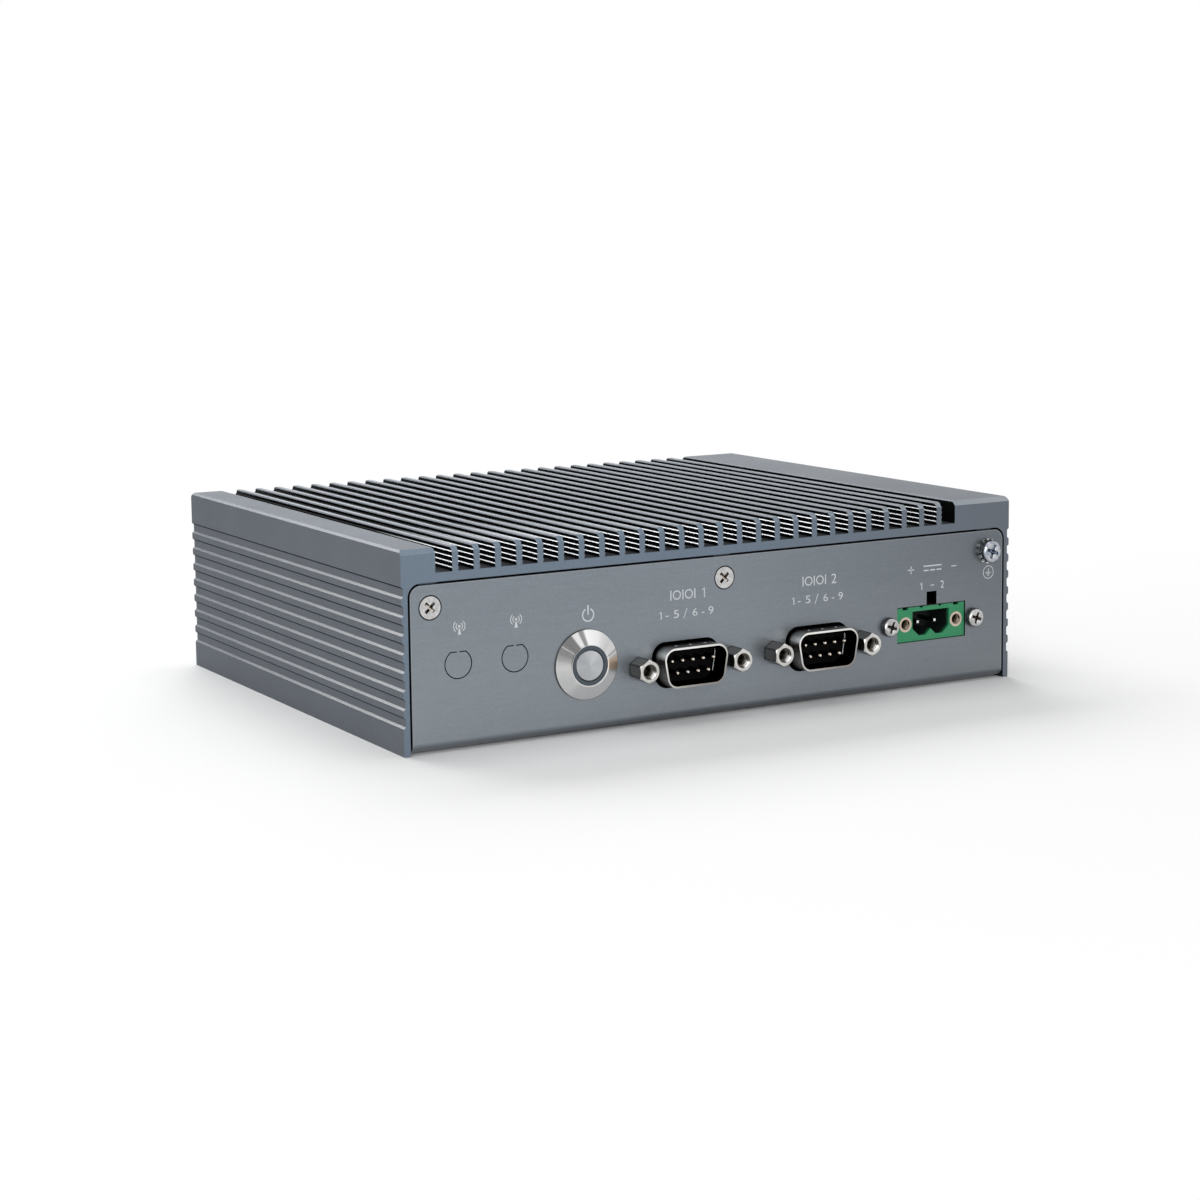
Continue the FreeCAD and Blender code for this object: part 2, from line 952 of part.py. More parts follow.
def make_switch_lugs():
    """Four solder lugs and the lamp's two, in two rows."""
    start = barrel_end + contact_block_length
    end = start + lug_length
    half = lug_width / 2
    thin = lug_thickness / 2
    lugs = []
    for column in lug_columns:
        for row in lug_rows:
            x = switch_x + column
            z = switch_height + row
            lugs.append(box(x - half, x + half, start, end, z - thin, z + thin))
    return group(lugs)


def make_switch_spring():
    """Return spring round the stem, from the disc to the contact block."""
    start = button_back + spring_wire / 2 + spring_seat
    length = contact_front - spring_wire / 2 - spring_seat - start
    helix = Part.makeHelix(length / spring_turns, length, spring_radius)
    middle = point(spring_radius, 0, 0)
    section = Part.Wire([Part.Circle(middle, point(0, 1, 0), spring_wire / 2).toShape()])
    spring = Part.Wire(helix.Edges).makePipeShell([section], True, True)
    spring.rotate(point(0, 0, 0), point(1, 0, 0), -90)
    spring.translate(point(switch_x, start, switch_height))
    return spring


def make_switch_nut():
    end = panel_back + switch_nut_thickness
    body = hexagon(switch_x, switch_height, panel_back, end, switch_nut_flats)
    hole_radius = barrel_radius + press_gap
    return body.cut(rod(switch_x, switch_height, panel_back - overrun, end + overrun, hole_radius))


# Serial ports

def shell_dimples(x):
    """Balls that press the grounding dimples into a collar: three above and two below."""
    y = front_y - dimple_back
    reach = shell_inside_height / 2 + shell_wall + dimple_radius - dimple_depth
    balls = []
    for index in (-1, 0, 1):
        place = point(x + index * dimple_pitch, y, serial_height + reach)
        balls.append(Part.makeSphere(dimple_radius, place))
    for index in (-0.5, 0.5):
        place = point(x + index * dimple_pitch, y, serial_height - reach)
        balls.append(Part.makeSphere(dimple_radius, place))
    return balls


def make_serial_shell(x):
    """Drawn steel shell: flange behind the panel and a D-shaped collar through it."""
    flange_back = panel_back + shell_flange_thickness
    half = shell_flange_width / 2
    low = serial_height - shell_flange_height / 2
    high = serial_height + shell_flange_height / 2
    flange = slab(x - half, x + half, low, high, panel_back, flange_back, shell_flange_corner)
    shell = flange.fuse(d_prism(x, shell_wall, front_y - shell_rise, flange_back))
    cuts = [d_prism(x, 0, front_y - shell_rise - overrun, flange_back + overrun)]
    cuts += shell_dimples(x)
    for side in (-1, 1):
        jack_x = x + side * jack_spacing / 2
        y0 = panel_back - overrun
        cuts.append(rod(jack_x, serial_height, y0, flange_back + overrun, shell_hole))
    for cut in cuts:
        shell = shell.cut(cut)
    return shell


def serial_pin_places(x):
    """Five pins above and four below, half a pitch across."""
    upper = serial_height + pin_row_gap / 2
    lower = serial_height - pin_row_gap / 2
    places = [(x + pin_pitch * (index - 2), upper) for index in range(5)]
    places += [(x + pin_pitch * (index - 1.5), lower) for index in range(4)]
    return places


def make_serial_insulator(x):
    """Moulded block: a D-shaped face with a raised island, and a body that stands on the board."""
    flange_back = panel_back + shell_flange_thickness
    face = front_y + insulator_face
    front = d_prism(x, -insulator_fit, face + insulator_step, flange_back)
    island = d_prism(x, -insulator_island_inset, face, flange_back)
    half = insulator_block_width / 2
    block_end = flange_back + insulator_block_depth
    block_top = serial_height + insulator_block_rise
    block = box(x - half, x + half, flange_back, block_end, board_top, block_top)
    body = joined([front, island, block])
    hole = pin_radius + pin_fit
    holes = [rod(a, b, face - overrun, face + pin_seat, hole) for a, b in serial_pin_places(x)]
    return body.cut(group(holes))


def make_serial_pins(x):
    tip = front_y - pin_reach
    root = front_y + insulator_face + pin_seat
    pins = []
    profile = [(0, tip), (pin_tip, tip), (pin_radius, tip + pin_taper), (pin_radius, root), (0, root)]
    for pin_x, pin_z in serial_pin_places(x):
        pins.append(turned(pin_x, pin_z, profile))
    return group(pins)


def make_jackscrews():
    """Four hex standoff screws that hold the serial ports and take a plug's screws."""
    screws = []
    tip = front_y - jack_length
    ahead = tip - overrun
    corner = jack_flats / math.sqrt(3)
    crown = [(0, ahead), (corner - jack_edge - overrun, ahead)]
    crown += [(corner + overrun, tip + jack_edge + overrun), (corner + overrun, front_y), (0, front_y)]
    bore_end = tip + jack_bore_depth
    bore = [(0, ahead), (jack_bore + jack_edge + overrun, ahead), (jack_bore, tip + jack_edge)]
    bore += [(jack_bore, bore_end), (0, bore_end)]
    for port_x in serial_x:
        for side in (-1, 1):
            x = port_x + side * jack_spacing / 2
            body = hexagon(x, serial_height, tip, front_y, jack_flats)
            body = body.common(turned(x, serial_height, crown))
            stud = rod(x, serial_height, front_y, front_y + jack_stud_length, jack_stud)
            screws.append(body.fuse(stud).cut(turned(x, serial_height, bore)))
    return group(screws)


# Supply header

def make_dc_header():
    """Green plug header: body through the panel, ears behind it, keyed pocket in front."""
    face = front_y + header_recess
    half = header_width / 2
    tall = header_tall / 2
    low = header_height - tall
    high = header_height + tall
    back = face + header_depth
    ear_back = panel_back + header_ear_thickness
    body = box(header_x - half, header_x + half, face, back, low, high)
    ears = box(header_x - header_ear, header_x + header_ear, panel_back, ear_back, low, high)
    body = joined([body, ears])
    cuts = [header_pocket(face)]
    ahead = face - overrun
    sleeve_hole = insert_outside + press_gap
    notch = header_notch_width / 2
    top = high - header_notch_depth
    above = high + header_skin
    for side in (-1, 1):
        x = header_x + side * header_insert_pitch / 2
        cuts.append(rod(x, header_height, ahead, face + insert_length, sleeve_hole))
        cuts.append(box(x - notch, x + notch, ahead, face + header_notch_length, top, high + overrun))
        x = header_x + side * header_groove_spacing / 2
        groove = [(x - notch, above, 0), (x, top, 0), (x + notch, above, 0)]
        cuts.append(plate(groove, ahead, face + header_pocket_depth))
        x = header_x + side * header_screw_pitch / 2
        cuts.append(rod(x, header_height, panel_back - overrun, ear_back + overrun, m25_core))
    reach = supply_pin / 2 + pin_fit
    low = header_height - reach
    high = header_height + reach
    cuts += [box(x - reach, x + reach, face, back + overrun, low, high) for x in supply_pin_places()]
    for cut in cuts:
        body = body.cut(cut)
    return body


def supply_pin_places():
    return [header_x + side * header_pitch / 2 for side in (-1, 1)]


def header_pocket(face):
    """Pocket for the plug: flat roof, and one keyed lobe for each pole below."""
    half = header_pocket_width / 2
    top = header_height + header_pocket_top
    low = header_height - header_pocket_bottom
    shoulder = low + 2 * header_pocket_shoulder
    lobe = header_pocket_lobe
    pole = header_pitch / 2
    corners = [
        (header_x - half, shoulder, 0),
        (header_x - pole - lobe, low, 0),
        (header_x - pole + lobe, low, 0),
        (header_x, shoulder - header_pocket_rise, 0),
        (header_x + pole - lobe, low, 0),
        (header_x + pole + lobe, low, 0),
        (header_x + half, shoulder, 0),
        (header_x + half, top, 0),
        (header_x - half, top, 0),
    ]
    return plate(corners, face - overrun, face + header_pocket_depth)


def make_dc_inserts():
    """Threaded sleeves for a plug's two screws."""
    face = front_y + header_recess
    end = face + insert_length
    sleeves = []
    for side in (-1, 1):
        x = header_x + side * header_insert_pitch / 2
        sleeve = rod(x, header_height, face - insert_proud, end, insert_outside)
        sleeves.append(sleeve.cut(rod(x, header_height, face - overrun, end + overrun, insert_bore)))
    return group(sleeves)


def make_dc_pins():
    start = front_y + supply_pin_recess
    end = front_y + header_recess + header_depth + supply_pin_tail
    half = supply_pin / 2
    low = header_height - half
    high = header_height + half
    return group([box(x - half, x + half, start, end, low, high) for x in supply_pin_places()])


def make_dc_screws():
    screws = []
    for side in (-1, 1):
        screw = pan_screw(
            header_x + side * header_screw_pitch / 2,
            header_height,
            front_y,
            header_screw_head,
            header_screw_head_height,
            m25_core - thread_clearance,
            header_screw_length,
        )
        screws.append(screw)
    return group(screws)


# Rear connectors

rear_face = rear_y + connector_proud


def make_lan_shell(x):
    """Shield of a network socket: four walls and a back, open at the face."""
    x0, x1, z0, z1 = lan_box(x)
    start = rear_face - lan_depth
    end = rear_face + overrun
    outside = box(x0, x1, start, rear_face, z0, z1)
    inside = box(x0 + shield, x1 - shield, start + shield, end, z0 + shield, z1 - shield)
    return outside.cut(inside)


def lan_pocket(x):
    """Keyed opening of a network socket, latch side down."""
    floor = board_top + lan_opening_floor
    y0 = rear_face - lan_opening_depth
    y1 = rear_face + overrun
    half = lan_opening_width / 2
    main = box(x - half, x + half, y0, y1, floor, floor + lan_opening_tall)
    half = lan_key_width / 2
    key = box(x - half, x + half, y0, y1, floor - lan_key_tall, floor + overrun)
    half = lan_latch_width / 2
    low = floor - lan_key_tall - lan_latch_tall
    latch = box(x - half, x + half, y0, y1, low, floor + overrun)
    return joined([main, key, latch])


def make_lan_insert(x):
    x0, x1, z0, z1 = lan_box(x)
    gap = shield + press_gap
    start = rear_face - lan_depth + gap
    end = rear_face - lan_insert_sink
    block = box(x0 + gap, x1 - gap, start, end, z0 + gap, z1 - gap)
    return block.cut(lan_pocket(x))


def make_lan_contacts(x):
    """Sprung contacts under the roof of the opening, sloping down towards its back."""
    top = board_top + lan_opening_floor + lan_opening_tall
    front = rear_face - lan_contact_front
    back = rear_face - lan_opening_depth
    low = top - lan_contact_drop
    width = lan_contact_width
    contacts = []
    for index in range(lan_contact_count):
        left = x + (index - (lan_contact_count - 1) / 2) * lan_contact_pitch - width / 2
        outline = [point(left, back, top), point(left, back, low), point(left, back + width, low)]
        outline += [point(left, front, top - width), point(left, front, top)]
        face = Part.Face(Part.makePolygon(outline + outline[:1]))
        contacts.append(face.extrude(point(width, 0, 0)))
    return group(contacts)


def usb_ports(x):
    """Middle height of the lower and upper port."""
    middle = board_top + usb_tall / 2
    return (middle - usb_port_pitch / 2, middle + usb_port_pitch / 2)


def make_usb_shell(x):
    """Shield of a double socket: one box with two openings."""
    x0, x1, z0, z1 = usb_box(x)
    start = rear_face - usb_depth
    floor = rear_face - usb_opening_depth
    shell = box(x0, x1, start, rear_face, z0, z1)
    shell = shell.cut(box(x0 + shield, x1 - shield, start + shield, floor, z0 + shield, z1 - shield))
    half = usb_opening_width / 2
    tall = usb_opening_tall / 2
    for middle in usb_ports(x):
        low = middle - tall
        high = middle + tall
        shell = shell.cut(box(x - half, x + half, floor - overrun, rear_face + overrun, low, high))
    return shell


def make_usb_tongues(x):
    """Moulded block in the back of the shield with a tongue in each opening."""
    x0, x1, z0, z1 = usb_box(x)
    gap = shield + press_gap
    start = rear_face - usb_depth + gap
    end = rear_face - usb_opening_depth - press_gap
    pieces = [box(x0 + gap, x1 - gap, start, end, z0 + gap, z1 - gap)]
    half = usb_tongue_width / 2
    tip = rear_face - tongue_sink
    for middle in usb_ports(x):
        top = middle + usb_opening_tall / 2 - usb_tongue_drop
        pieces.append(box(x - half, x + half, end - overrun, tip, top - usb_tongue_tall, top))
    return joined(pieces)


def make_usb_contacts(x):
    """Flat contacts under each tongue."""
    half = usb_contact_width / 2
    back = rear_face - usb_opening_depth + usb_contact_back
    front = rear_face - usb_contact_front
    contacts = []
    for middle in usb_ports(x):
        under = middle + usb_opening_tall / 2 - usb_tongue_drop - usb_tongue_tall
        low = under - usb_contact_thickness
        for index in range(usb_contact_count):
            place = x + (index - (usb_contact_count - 1) / 2) * usb_contact_pitch
            contacts.append(box(place - half, place + half, back, front, low, under))
    return group(contacts)


def make_video_shell(port):
    start = rear_face - video_depth
    shell = plate(video_outline(port, 0), start, rear_face)
    return shell.cut(plate(video_outline(port, -shield), start + shield, rear_face + overrun))


def make_video_tongue(port):
    """Moulded block behind the opening with one flat tongue."""
    x = video_x[port]
    gap = shield + press_gap
    start = rear_face - video_depth + gap
    back = rear_face - video_opening_depth
    block = plate(video_outline(port, -gap), start, back)
    half = video_width[port] / 2 - video_tongue_side
    middle = board_top + video_tall / 2
    low = middle - video_tongue_tall / 2
    high = middle + video_tongue_tall / 2
    tongue = box(x - half, x + half, back - overrun, rear_face - tongue_sink, low, high)
    return joined([block, tongue])


# Board

def make_mainboard():
    board = box(-board_half, board_half, board_front, board_rear, board_under, board_top)
    low = board_under - overrun
    high = board_top + overrun
    holes = [post(x, y, low, high, m3_hole) for x, y in standoff_points()]
    holes += [post(x, y, low, high, m25_core) for x, y in block_screw_points()]
    holes.append(post(ssd_screw_x, ssd_y, low, high, standoff_spigot + press_gap))
    return board.cut(group(holes))


def make_board_standoffs():
    """Turned posts pressed into the base, tapped through."""
    posts = []
    for x, y in standoff_points():
        body = post(x, y, base_top, board_under, standoff_radius)
        spigot = post(x, y, base_lift, base_top, standoff_spigot)
        bore = post(x, y, base_top, board_under + overrun, m3_core)
        posts.append(joined([body.cut(bore), spigot]))
    return group(posts)


def make_board_screws():
    screws = []
    shank = m3_core - thread_clearance
    head = board_screw_head
    tall = board_screw_head_height
    for x, y in standoff_points():
        screws.append(pan_screw_down(x, y, board_top, head, tall, shank, board_screw_length))
    return group(screws)


# Processor and heat path

die_top = board_top + processor_base + die_height
block_under = die_top + pad_thickness
block_top = roof_under - pad_thickness


def block_screw_points():
    across = block_width / 2 - block_screw_inset
    along = block_length / 2 - block_screw_inset
    return [(processor_x + a * across, processor_y + b * along) for a in (-1, 1) for b in (-1, 1)]


def centred_box(x, y, width, length, z0, z1):
    return box(x - width / 2, x + width / 2, y - length / 2, y + length / 2, z0, z1)


def make_processor():
    """Package with its bare die."""
    x = processor_x
    y = processor_y
    package_top = board_top + processor_base
    package = centred_box(x, y, processor_width, processor_length, board_top, package_top)
    die = centred_box(x, y, die_width, die_length, package_top, die_top)
    return joined([package, die])


def make_thermal_pads():
    """One pad on the die and one between the block and the roof."""
    x = processor_x
    y = processor_y
    lower = centred_box(x, y, die_width + pad_margin, die_length + pad_margin, die_top, block_under)
    width = block_width - pad_margin
    length = block_length - pad_margin
    upper = centred_box(x, y, width, length, block_top, roof_under)
    return group([lower, upper])


def make_heat_block():
    """Aluminium block: a neck over the die, a plate that meets the roof, and four legs for its screws."""
    x = processor_x
    y = processor_y
    plate_under = block_under + block_neck
    pieces = [centred_box(x, y, block_neck_width, block_neck_length, block_under, block_top)]
    pieces.append(centred_box(x, y, block_width, block_length, plate_under, block_top))
    for x, y in block_screw_points():
        pieces.append(post(x, y, board_top, block_top, block_leg_radius))
    block = joined(pieces)
    bore_top = board_top + block_bore_depth
    holes = [post(x, y, board_top - overrun, bore_top, m25_core) for x, y in block_screw_points()]
    return block.cut(group(holes))


def make_block_screws():
    """Screws from under the board up into the block's legs."""
    screws = []
    shank = m25_core - thread_clearance
    head_top = board_under
    head_low = board_under - block_screw_head_height
    tip = board_top + block_bore_depth - block_screw_end
    for x, y in block_screw_points():
        profile = [(0, head_low), (block_screw_head, head_low), (block_screw_head, head_top)]
        profile += [(shank, head_top), (shank, tip), (0, tip)]
        screws.append(turned_up(x, y, profile))
    return group(screws)


# Memory and storage

memory_under = board_top + memory_lift
memory_top = memory_under + memory_thickness
memory_back = memory_y + memory_length / 2


def make_memory_socket():
    """Long socket with two spring arms along the module's sides."""
    half = memory_width / 2 + socket_arm
    front = memory_back - memory_grip
    end = front + socket_depth
    top = board_top + socket_height
    body = box(memory_x - half, memory_x + half, front, end, board_top, top)
    slot_half = memory_width / 2 + press_gap
    slot = box(
        memory_x - slot_half,
        memory_x + slot_half,
        front - overrun,
        memory_back + press_gap,
        memory_under - press_gap,
        memory_top + press_gap,
    )
    pieces = [body.cut(slot)]
    arm_front = memory_y - memory_length / 2 + socket_arm_short
    for side in (-1, 1):
        inner = memory_x + side * (memory_width / 2 + socket_arm_gap)
        outer = memory_x + side * half
        x0, x1 = sorted((inner, outer))
        pieces.append(box(x0, x1, arm_front, front + overrun, board_top, memory_top))
    return joined(pieces)


def make_memory_module():
    """Board with its key slot, latch notches and a row of chips."""
    low = memory_under - overrun
    high = memory_top + overrun
    x = memory_x
    y = memory_y
    module = centred_box(x, y, memory_width, memory_length, memory_under, memory_top)
    for side in (-1, 1):
        module = module.cut(post(x + side * memory_width / 2, y, low, high, memory_key))
    key_x = x + memory_key_offset
    key_front = memory_back - memory_key_depth
    module = module.cut(box(key_x, key_x + memory_key, key_front, memory_back + overrun, low, high))
    pieces = [module]
    row = y - memory_chip_offset
    top = memory_top + memory_chip
    for index in range(memory_chip_count):
        column = x + (index - (memory_chip_count - 1) / 2) * memory_chip_pitch
        chip = centred_box(column, row, memory_chip_width, memory_chip_length, memory_top, top)
        pieces.append(chip)
    return joined(pieces)


ssd_under = board_top + ssd_lift
ssd_top = ssd_under + ssd_thickness
ssd_screw_x = ssd_x - ssd_width / 2
ssd_card_length = ssd_length - 2 * ssd_side_gap


def make_ssd_socket():
    end = ssd_x + ssd_width / 2
    front = end - ssd_grip
    middle = front + ssd_socket_depth / 2
    top = board_top + ssd_socket_height
    body = centred_box(middle, ssd_y, ssd_socket_depth, ssd_length, board_top, top)
    half = ssd_card_length / 2 + press_gap
    slot = box(
        front - overrun,
        end + press_gap,
        ssd_y - half,
        ssd_y + half,
        ssd_under - press_gap,
        ssd_top + press_gap,
    )
    return body.cut(slot)


def make_ssd_module():
    """Card with a half-round screw notch at its free end."""
    card = centred_box(ssd_x, ssd_y, ssd_width, ssd_card_length, ssd_under, ssd_top)
    notch = post(ssd_screw_x, ssd_y, ssd_under - overrun, ssd_top + overrun, ssd_notch)
    pieces = [card.cut(notch)]
    top = ssd_top + ssd_chip
    for place in ssd_chip_places:
        pieces.append(centred_box(ssd_x + place, ssd_y, ssd_chip_width, ssd_chip_length, ssd_top, top))
    return joined(pieces)


def make_ssd_standoff():
    body = post(ssd_screw_x, ssd_y, board_top, ssd_under, standoff_radius)
    spigot = post(ssd_screw_x, ssd_y, board_under, board_top, standoff_spigot)
    bore = post(ssd_screw_x, ssd_y, board_top, ssd_under + overrun, m25_core)
    return joined([body.cut(bore), spigot])


def make_ssd_screw():
    shank = m25_core - thread_clearance
    length = ssd_lift + ssd_thickness - ssd_screw_short
    head = ssd_screw_head
    tall = ssd_screw_head_height
    return pan_screw_down(ssd_screw_x, ssd_y, ssd_top, head, tall, shank, length)


def make_cell_holder():
    """Round cup with two open sides."""
    outside = cell_radius + cell_gap + cell_wall
    floor = board_top + cell_floor
    top = floor + cell_cup
    cup = post(cell_x, cell_y, board_top, top, outside)
    cup = cup.cut(post(cell_x, cell_y, floor, top + overrun, cell_radius + cell_gap))
    width = 2 * (outside + overrun)
    return cup.cut(centred_box(cell_x, cell_y, width, cell_window, floor, top + overrun))


def make_coin_cell():
    floor = board_top + cell_floor
    step = cell_radius - cell_step
    shoulder = floor + cell_step_height
    profile = [
        (0, floor),
        (step, floor),
        (step, shoulder),
        (cell_radius, shoulder + cell_slope),
        (cell_radius, floor + cell_height),
        (0, floor + cell_height),
    ]
    return turned_up(cell_x, cell_y, profile)


def make_power_chokes():
    chokes = []
    top = board_top + choke_height
    for index in range(choke_count):
        x = choke_x + index * choke_pitch
        block = centred_box(x, choke_y, choke_side, choke_side, board_top, top)
        upright = [edge for edge in block.Edges if edge.BoundBox.ZLength > choke_height / 2]
        chokes.append(block.makeChamfer(choke_corner, upright))
    return group(chokes)


def make_capacitors():
    cans = []
    side = 2 * capacitor_radius
    foot_top = board_top + capacitor_foot
    top = board_top + capacitor_height
    for index in range(capacitor_count):
        x = capacitor_x + index * capacitor_pitch
        foot = centred_box(x, capacitor_y, side, side, board_top, foot_top)
        cans.append(joined([foot, post(x, capacitor_y, board_top, top, capacitor_radius)]))
    return group(cans)


def make_controller_chips():
    top = board_top + chip_height
    return group([centred_box(x, chip_y, chip_side, chip_side, board_top, top) for x in lan_x])


parts = {
    "housing": make_housing(),
    "chassis": make_chassis(),
    "front_screws": make_front_screws(),
    "rear_screws": make_rear_screws(),
    "ground_screw": make_ground_screw(),
    "ground_washer": make_ground_washer(),
    "mount_nuts": make_mount_nuts(),
    "switch_bezel": make_switch_bezel(),
    "switch_nut": make_switch_nut(),
    "switch_ring": make_switch_ring(),
    "switch_base": make_switch_base(),
    "switch_lugs": make_switch_lugs(),
    "switch_spring": make_switch_spring(),
    "power_button": make_power_button(),
    "jackscrews": make_jackscrews(),
    "dc_header": make_dc_header(),
    "dc_inserts": make_dc_inserts(),
    "dc_pins": make_dc_pins(),
    "dc_screws": make_dc_screws(),
    "mainboard": make_mainboard(),
    "board_standoffs": make_board_standoffs(),
    "board_screws": make_board_screws(),
    "processor": make_processor(),
    "thermal_pads": make_thermal_pads(),
    "heat_block": make_heat_block(),
    "block_screws": make_block_screws(),
    "memory_socket": make_memory_socket(),
    "memory_module": make_memory_module(),
    "ssd_socket": make_ssd_socket(),
    "ssd_module": make_ssd_module(),
    "ssd_standoff": make_ssd_standoff(),
    "ssd_screw": make_ssd_screw(),
    "cell_holder": make_cell_holder(),
    "coin_cell": make_coin_cell(),
    "power_chokes": make_power_chokes(),
    "capacitors": make_capacitors(),
    "controller_chips": make_controller_chips(),
}
for number, x in enumerate(serial_x, 1):
    parts[f"serial_{number}_shell"] = make_serial_shell(x)
    parts[f"serial_{number}_insulator"] = make_serial_insulator(x)
    parts[f"serial_{number}_pins"] = make_serial_pins(x)
for number, x in enumerate(lan_x, 1):
    parts[f"lan_{number}_shell"] = make_lan_shell(x)
    parts[f"lan_{number}_insert"] = make_lan_insert(x)
    parts[f"lan_{number}_contacts"] = make_lan_contacts(x)
for number, x in enumerate(usb_x, 1):
    parts[f"usb_{number}_shell"] = make_usb_shell(x)
    parts[f"usb_{number}_tongues"] = make_usb_tongues(x)
    parts[f"usb_{number}_contacts"] = make_usb_contacts(x)
for port in range(len(video_x)):
    parts[f"video_{port + 1}_shell"] = make_video_shell(port)
    parts[f"video_{port + 1}_tongue"] = make_video_tongue(port)

os.makedirs("parts", exist_ok=True)
for name, shape in parts.items():
    shape.exportStep(f"parts/{name}.step")
    solids = len(shape.Solids)
    print(f"{name}: {solids} solid(s), {shape.Volume / 1000:.3f} cm3, valid {shape.isValid()}")
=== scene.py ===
import json
import math
import bmesh
import bpy
from mathutils import Matrix, Vector


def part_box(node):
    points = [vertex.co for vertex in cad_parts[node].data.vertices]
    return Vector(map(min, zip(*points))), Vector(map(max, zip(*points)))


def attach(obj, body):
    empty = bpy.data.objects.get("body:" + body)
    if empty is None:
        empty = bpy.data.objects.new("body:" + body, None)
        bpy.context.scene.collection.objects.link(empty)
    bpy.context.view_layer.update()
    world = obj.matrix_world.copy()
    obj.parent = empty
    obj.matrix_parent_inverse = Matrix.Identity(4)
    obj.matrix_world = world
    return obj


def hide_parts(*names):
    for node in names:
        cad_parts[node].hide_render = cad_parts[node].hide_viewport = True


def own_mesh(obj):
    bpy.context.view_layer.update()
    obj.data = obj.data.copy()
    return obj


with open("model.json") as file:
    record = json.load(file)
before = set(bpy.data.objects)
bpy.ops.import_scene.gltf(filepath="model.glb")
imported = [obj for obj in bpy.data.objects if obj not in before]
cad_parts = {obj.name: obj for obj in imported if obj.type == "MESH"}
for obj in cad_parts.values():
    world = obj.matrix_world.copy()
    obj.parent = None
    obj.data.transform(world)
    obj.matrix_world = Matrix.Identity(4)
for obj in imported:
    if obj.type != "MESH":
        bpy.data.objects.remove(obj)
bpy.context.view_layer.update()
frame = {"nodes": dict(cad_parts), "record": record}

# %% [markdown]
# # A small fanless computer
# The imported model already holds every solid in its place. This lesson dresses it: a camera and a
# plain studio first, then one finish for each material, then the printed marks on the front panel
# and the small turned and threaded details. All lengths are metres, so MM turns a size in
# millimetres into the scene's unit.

MM = 0.001

# %% [markdown]
# ## Places taken from the frame
# The patterns and most new pieces are placed from the solids they belong to: the front face, the
# middle of each port, the axis of the switch. If a size changes in the model, they follow. The
# printed marks take only the front face from it; their places on it are given in millimetres.

# %% Places on the front panel
housing_low, housing_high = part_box("housing")
FRONT = housing_low.y
REAR = housing_high.y
TOP = housing_high.z


def middle(node):
    low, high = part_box(node)
    return (low + high) / 2


def half_width(node):
    low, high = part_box(node)
    return (high.x - low.x) / 2


PORTS = [middle("serial_1_shell"), middle("serial_2_shell")]
SWITCH = middle("switch_bezel")
SUPPLY = middle("dc_header")
JACK_SPACING = 24.99 * MM
SHELL_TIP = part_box("serial_1_shell")[0].y
JACK_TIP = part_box("jackscrews")[0].y
print("port middles in mm:", [tuple(round(value / MM, 2) for value in port) for port in PORTS])

# %% [markdown]
# ## Adding to the scene
# Whatever is new comes in by one of two functions. The first puts a camera, a lamp or a mesh into
# the scene. The second turns a finished drawing in bmesh into a piece of the computer, with its
# material and its body.

# %% Adding to the scene
def linked(name, data):
    """New object of some data, in the scene's collection."""
    item = bpy.data.objects.new(name, data)
    bpy.context.scene.collection.objects.link(item)
    return item


def new_piece(name, bm, material):
    """Piece that rides on the computer, made from a bmesh, which is freed."""
    mesh = bpy.data.meshes.new(name)
    bm.to_mesh(mesh)
    bm.free()
    mesh.materials.append(material)
    piece = linked(name, mesh)
    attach(piece, "computer")
    return piece


print("nodes in the frame:", len(frame["nodes"]))

# %% [markdown]
# ## Camera
# The photograph looks at the front left corner from a little above, through a long lens. The
# angles, the distance and the place of the lens axis come from fitting a camera to the known
# spacings of the connectors. The axis lies above the middle of the picture, so the camera has
# a small shift.

# %% Camera
PHOTO_SIDE = 1200
FOCAL_PIXELS = 2457.16
AXIS_ABOVE_MIDDLE = 100
SENSOR = 36
CLIP = (0.01, 30)
AZIMUTH = math.radians(-29.719)
ELEVATION = math.radians(7.099)
ROLL = math.radians(-0.667)
DISTANCE = 546.434 * MM
AIM = Vector((-33.348 * MM, FRONT, 52.414 * MM))


def make_camera():
    back = Vector((
        math.sin(AZIMUTH) * math.cos(ELEVATION),
        -math.cos(AZIMUTH) * math.cos(ELEVATION),
        math.sin(ELEVATION),
    ))
    level = Vector((math.cos(AZIMUTH), math.sin(AZIMUTH), 0))
    upright = back.cross(level)
    right = level * math.cos(ROLL) + upright * math.sin(ROLL)
    up = upright * math.cos(ROLL) - level * math.sin(ROLL)
    data = bpy.data.cameras.new("camera")
    data.sensor_width = SENSOR
    data.lens = FOCAL_PIXELS / PHOTO_SIDE * SENSOR
    data.shift_y = -AXIS_ABOVE_MIDDLE / PHOTO_SIDE
    data.clip_start, data.clip_end = CLIP
    camera = linked("camera", data)
    turn = Matrix((right, up, back)).transposed().to_4x4()
    camera.matrix_world = Matrix.Translation(AIM + back * DISTANCE) @ turn
    bpy.context.scene.camera = camera
    return camera


camera = make_camera()
print("lens in mm:", round(camera.data.lens, 2))

# %% [markdown]
# ## Writing shaders as sums
# A finish is easiest to read as a short formula, such as `base + 0.04 * grain`. The first class
# below wraps the output of a node, and each operator on it adds one Math node to the tree. All
# other nodes come from one method of the second class, which sets the node's options first and
# then its inputs. A surface is then painted in layers: a base shade, and over it a list of
# shades, each with the share by which it covers what lies below.

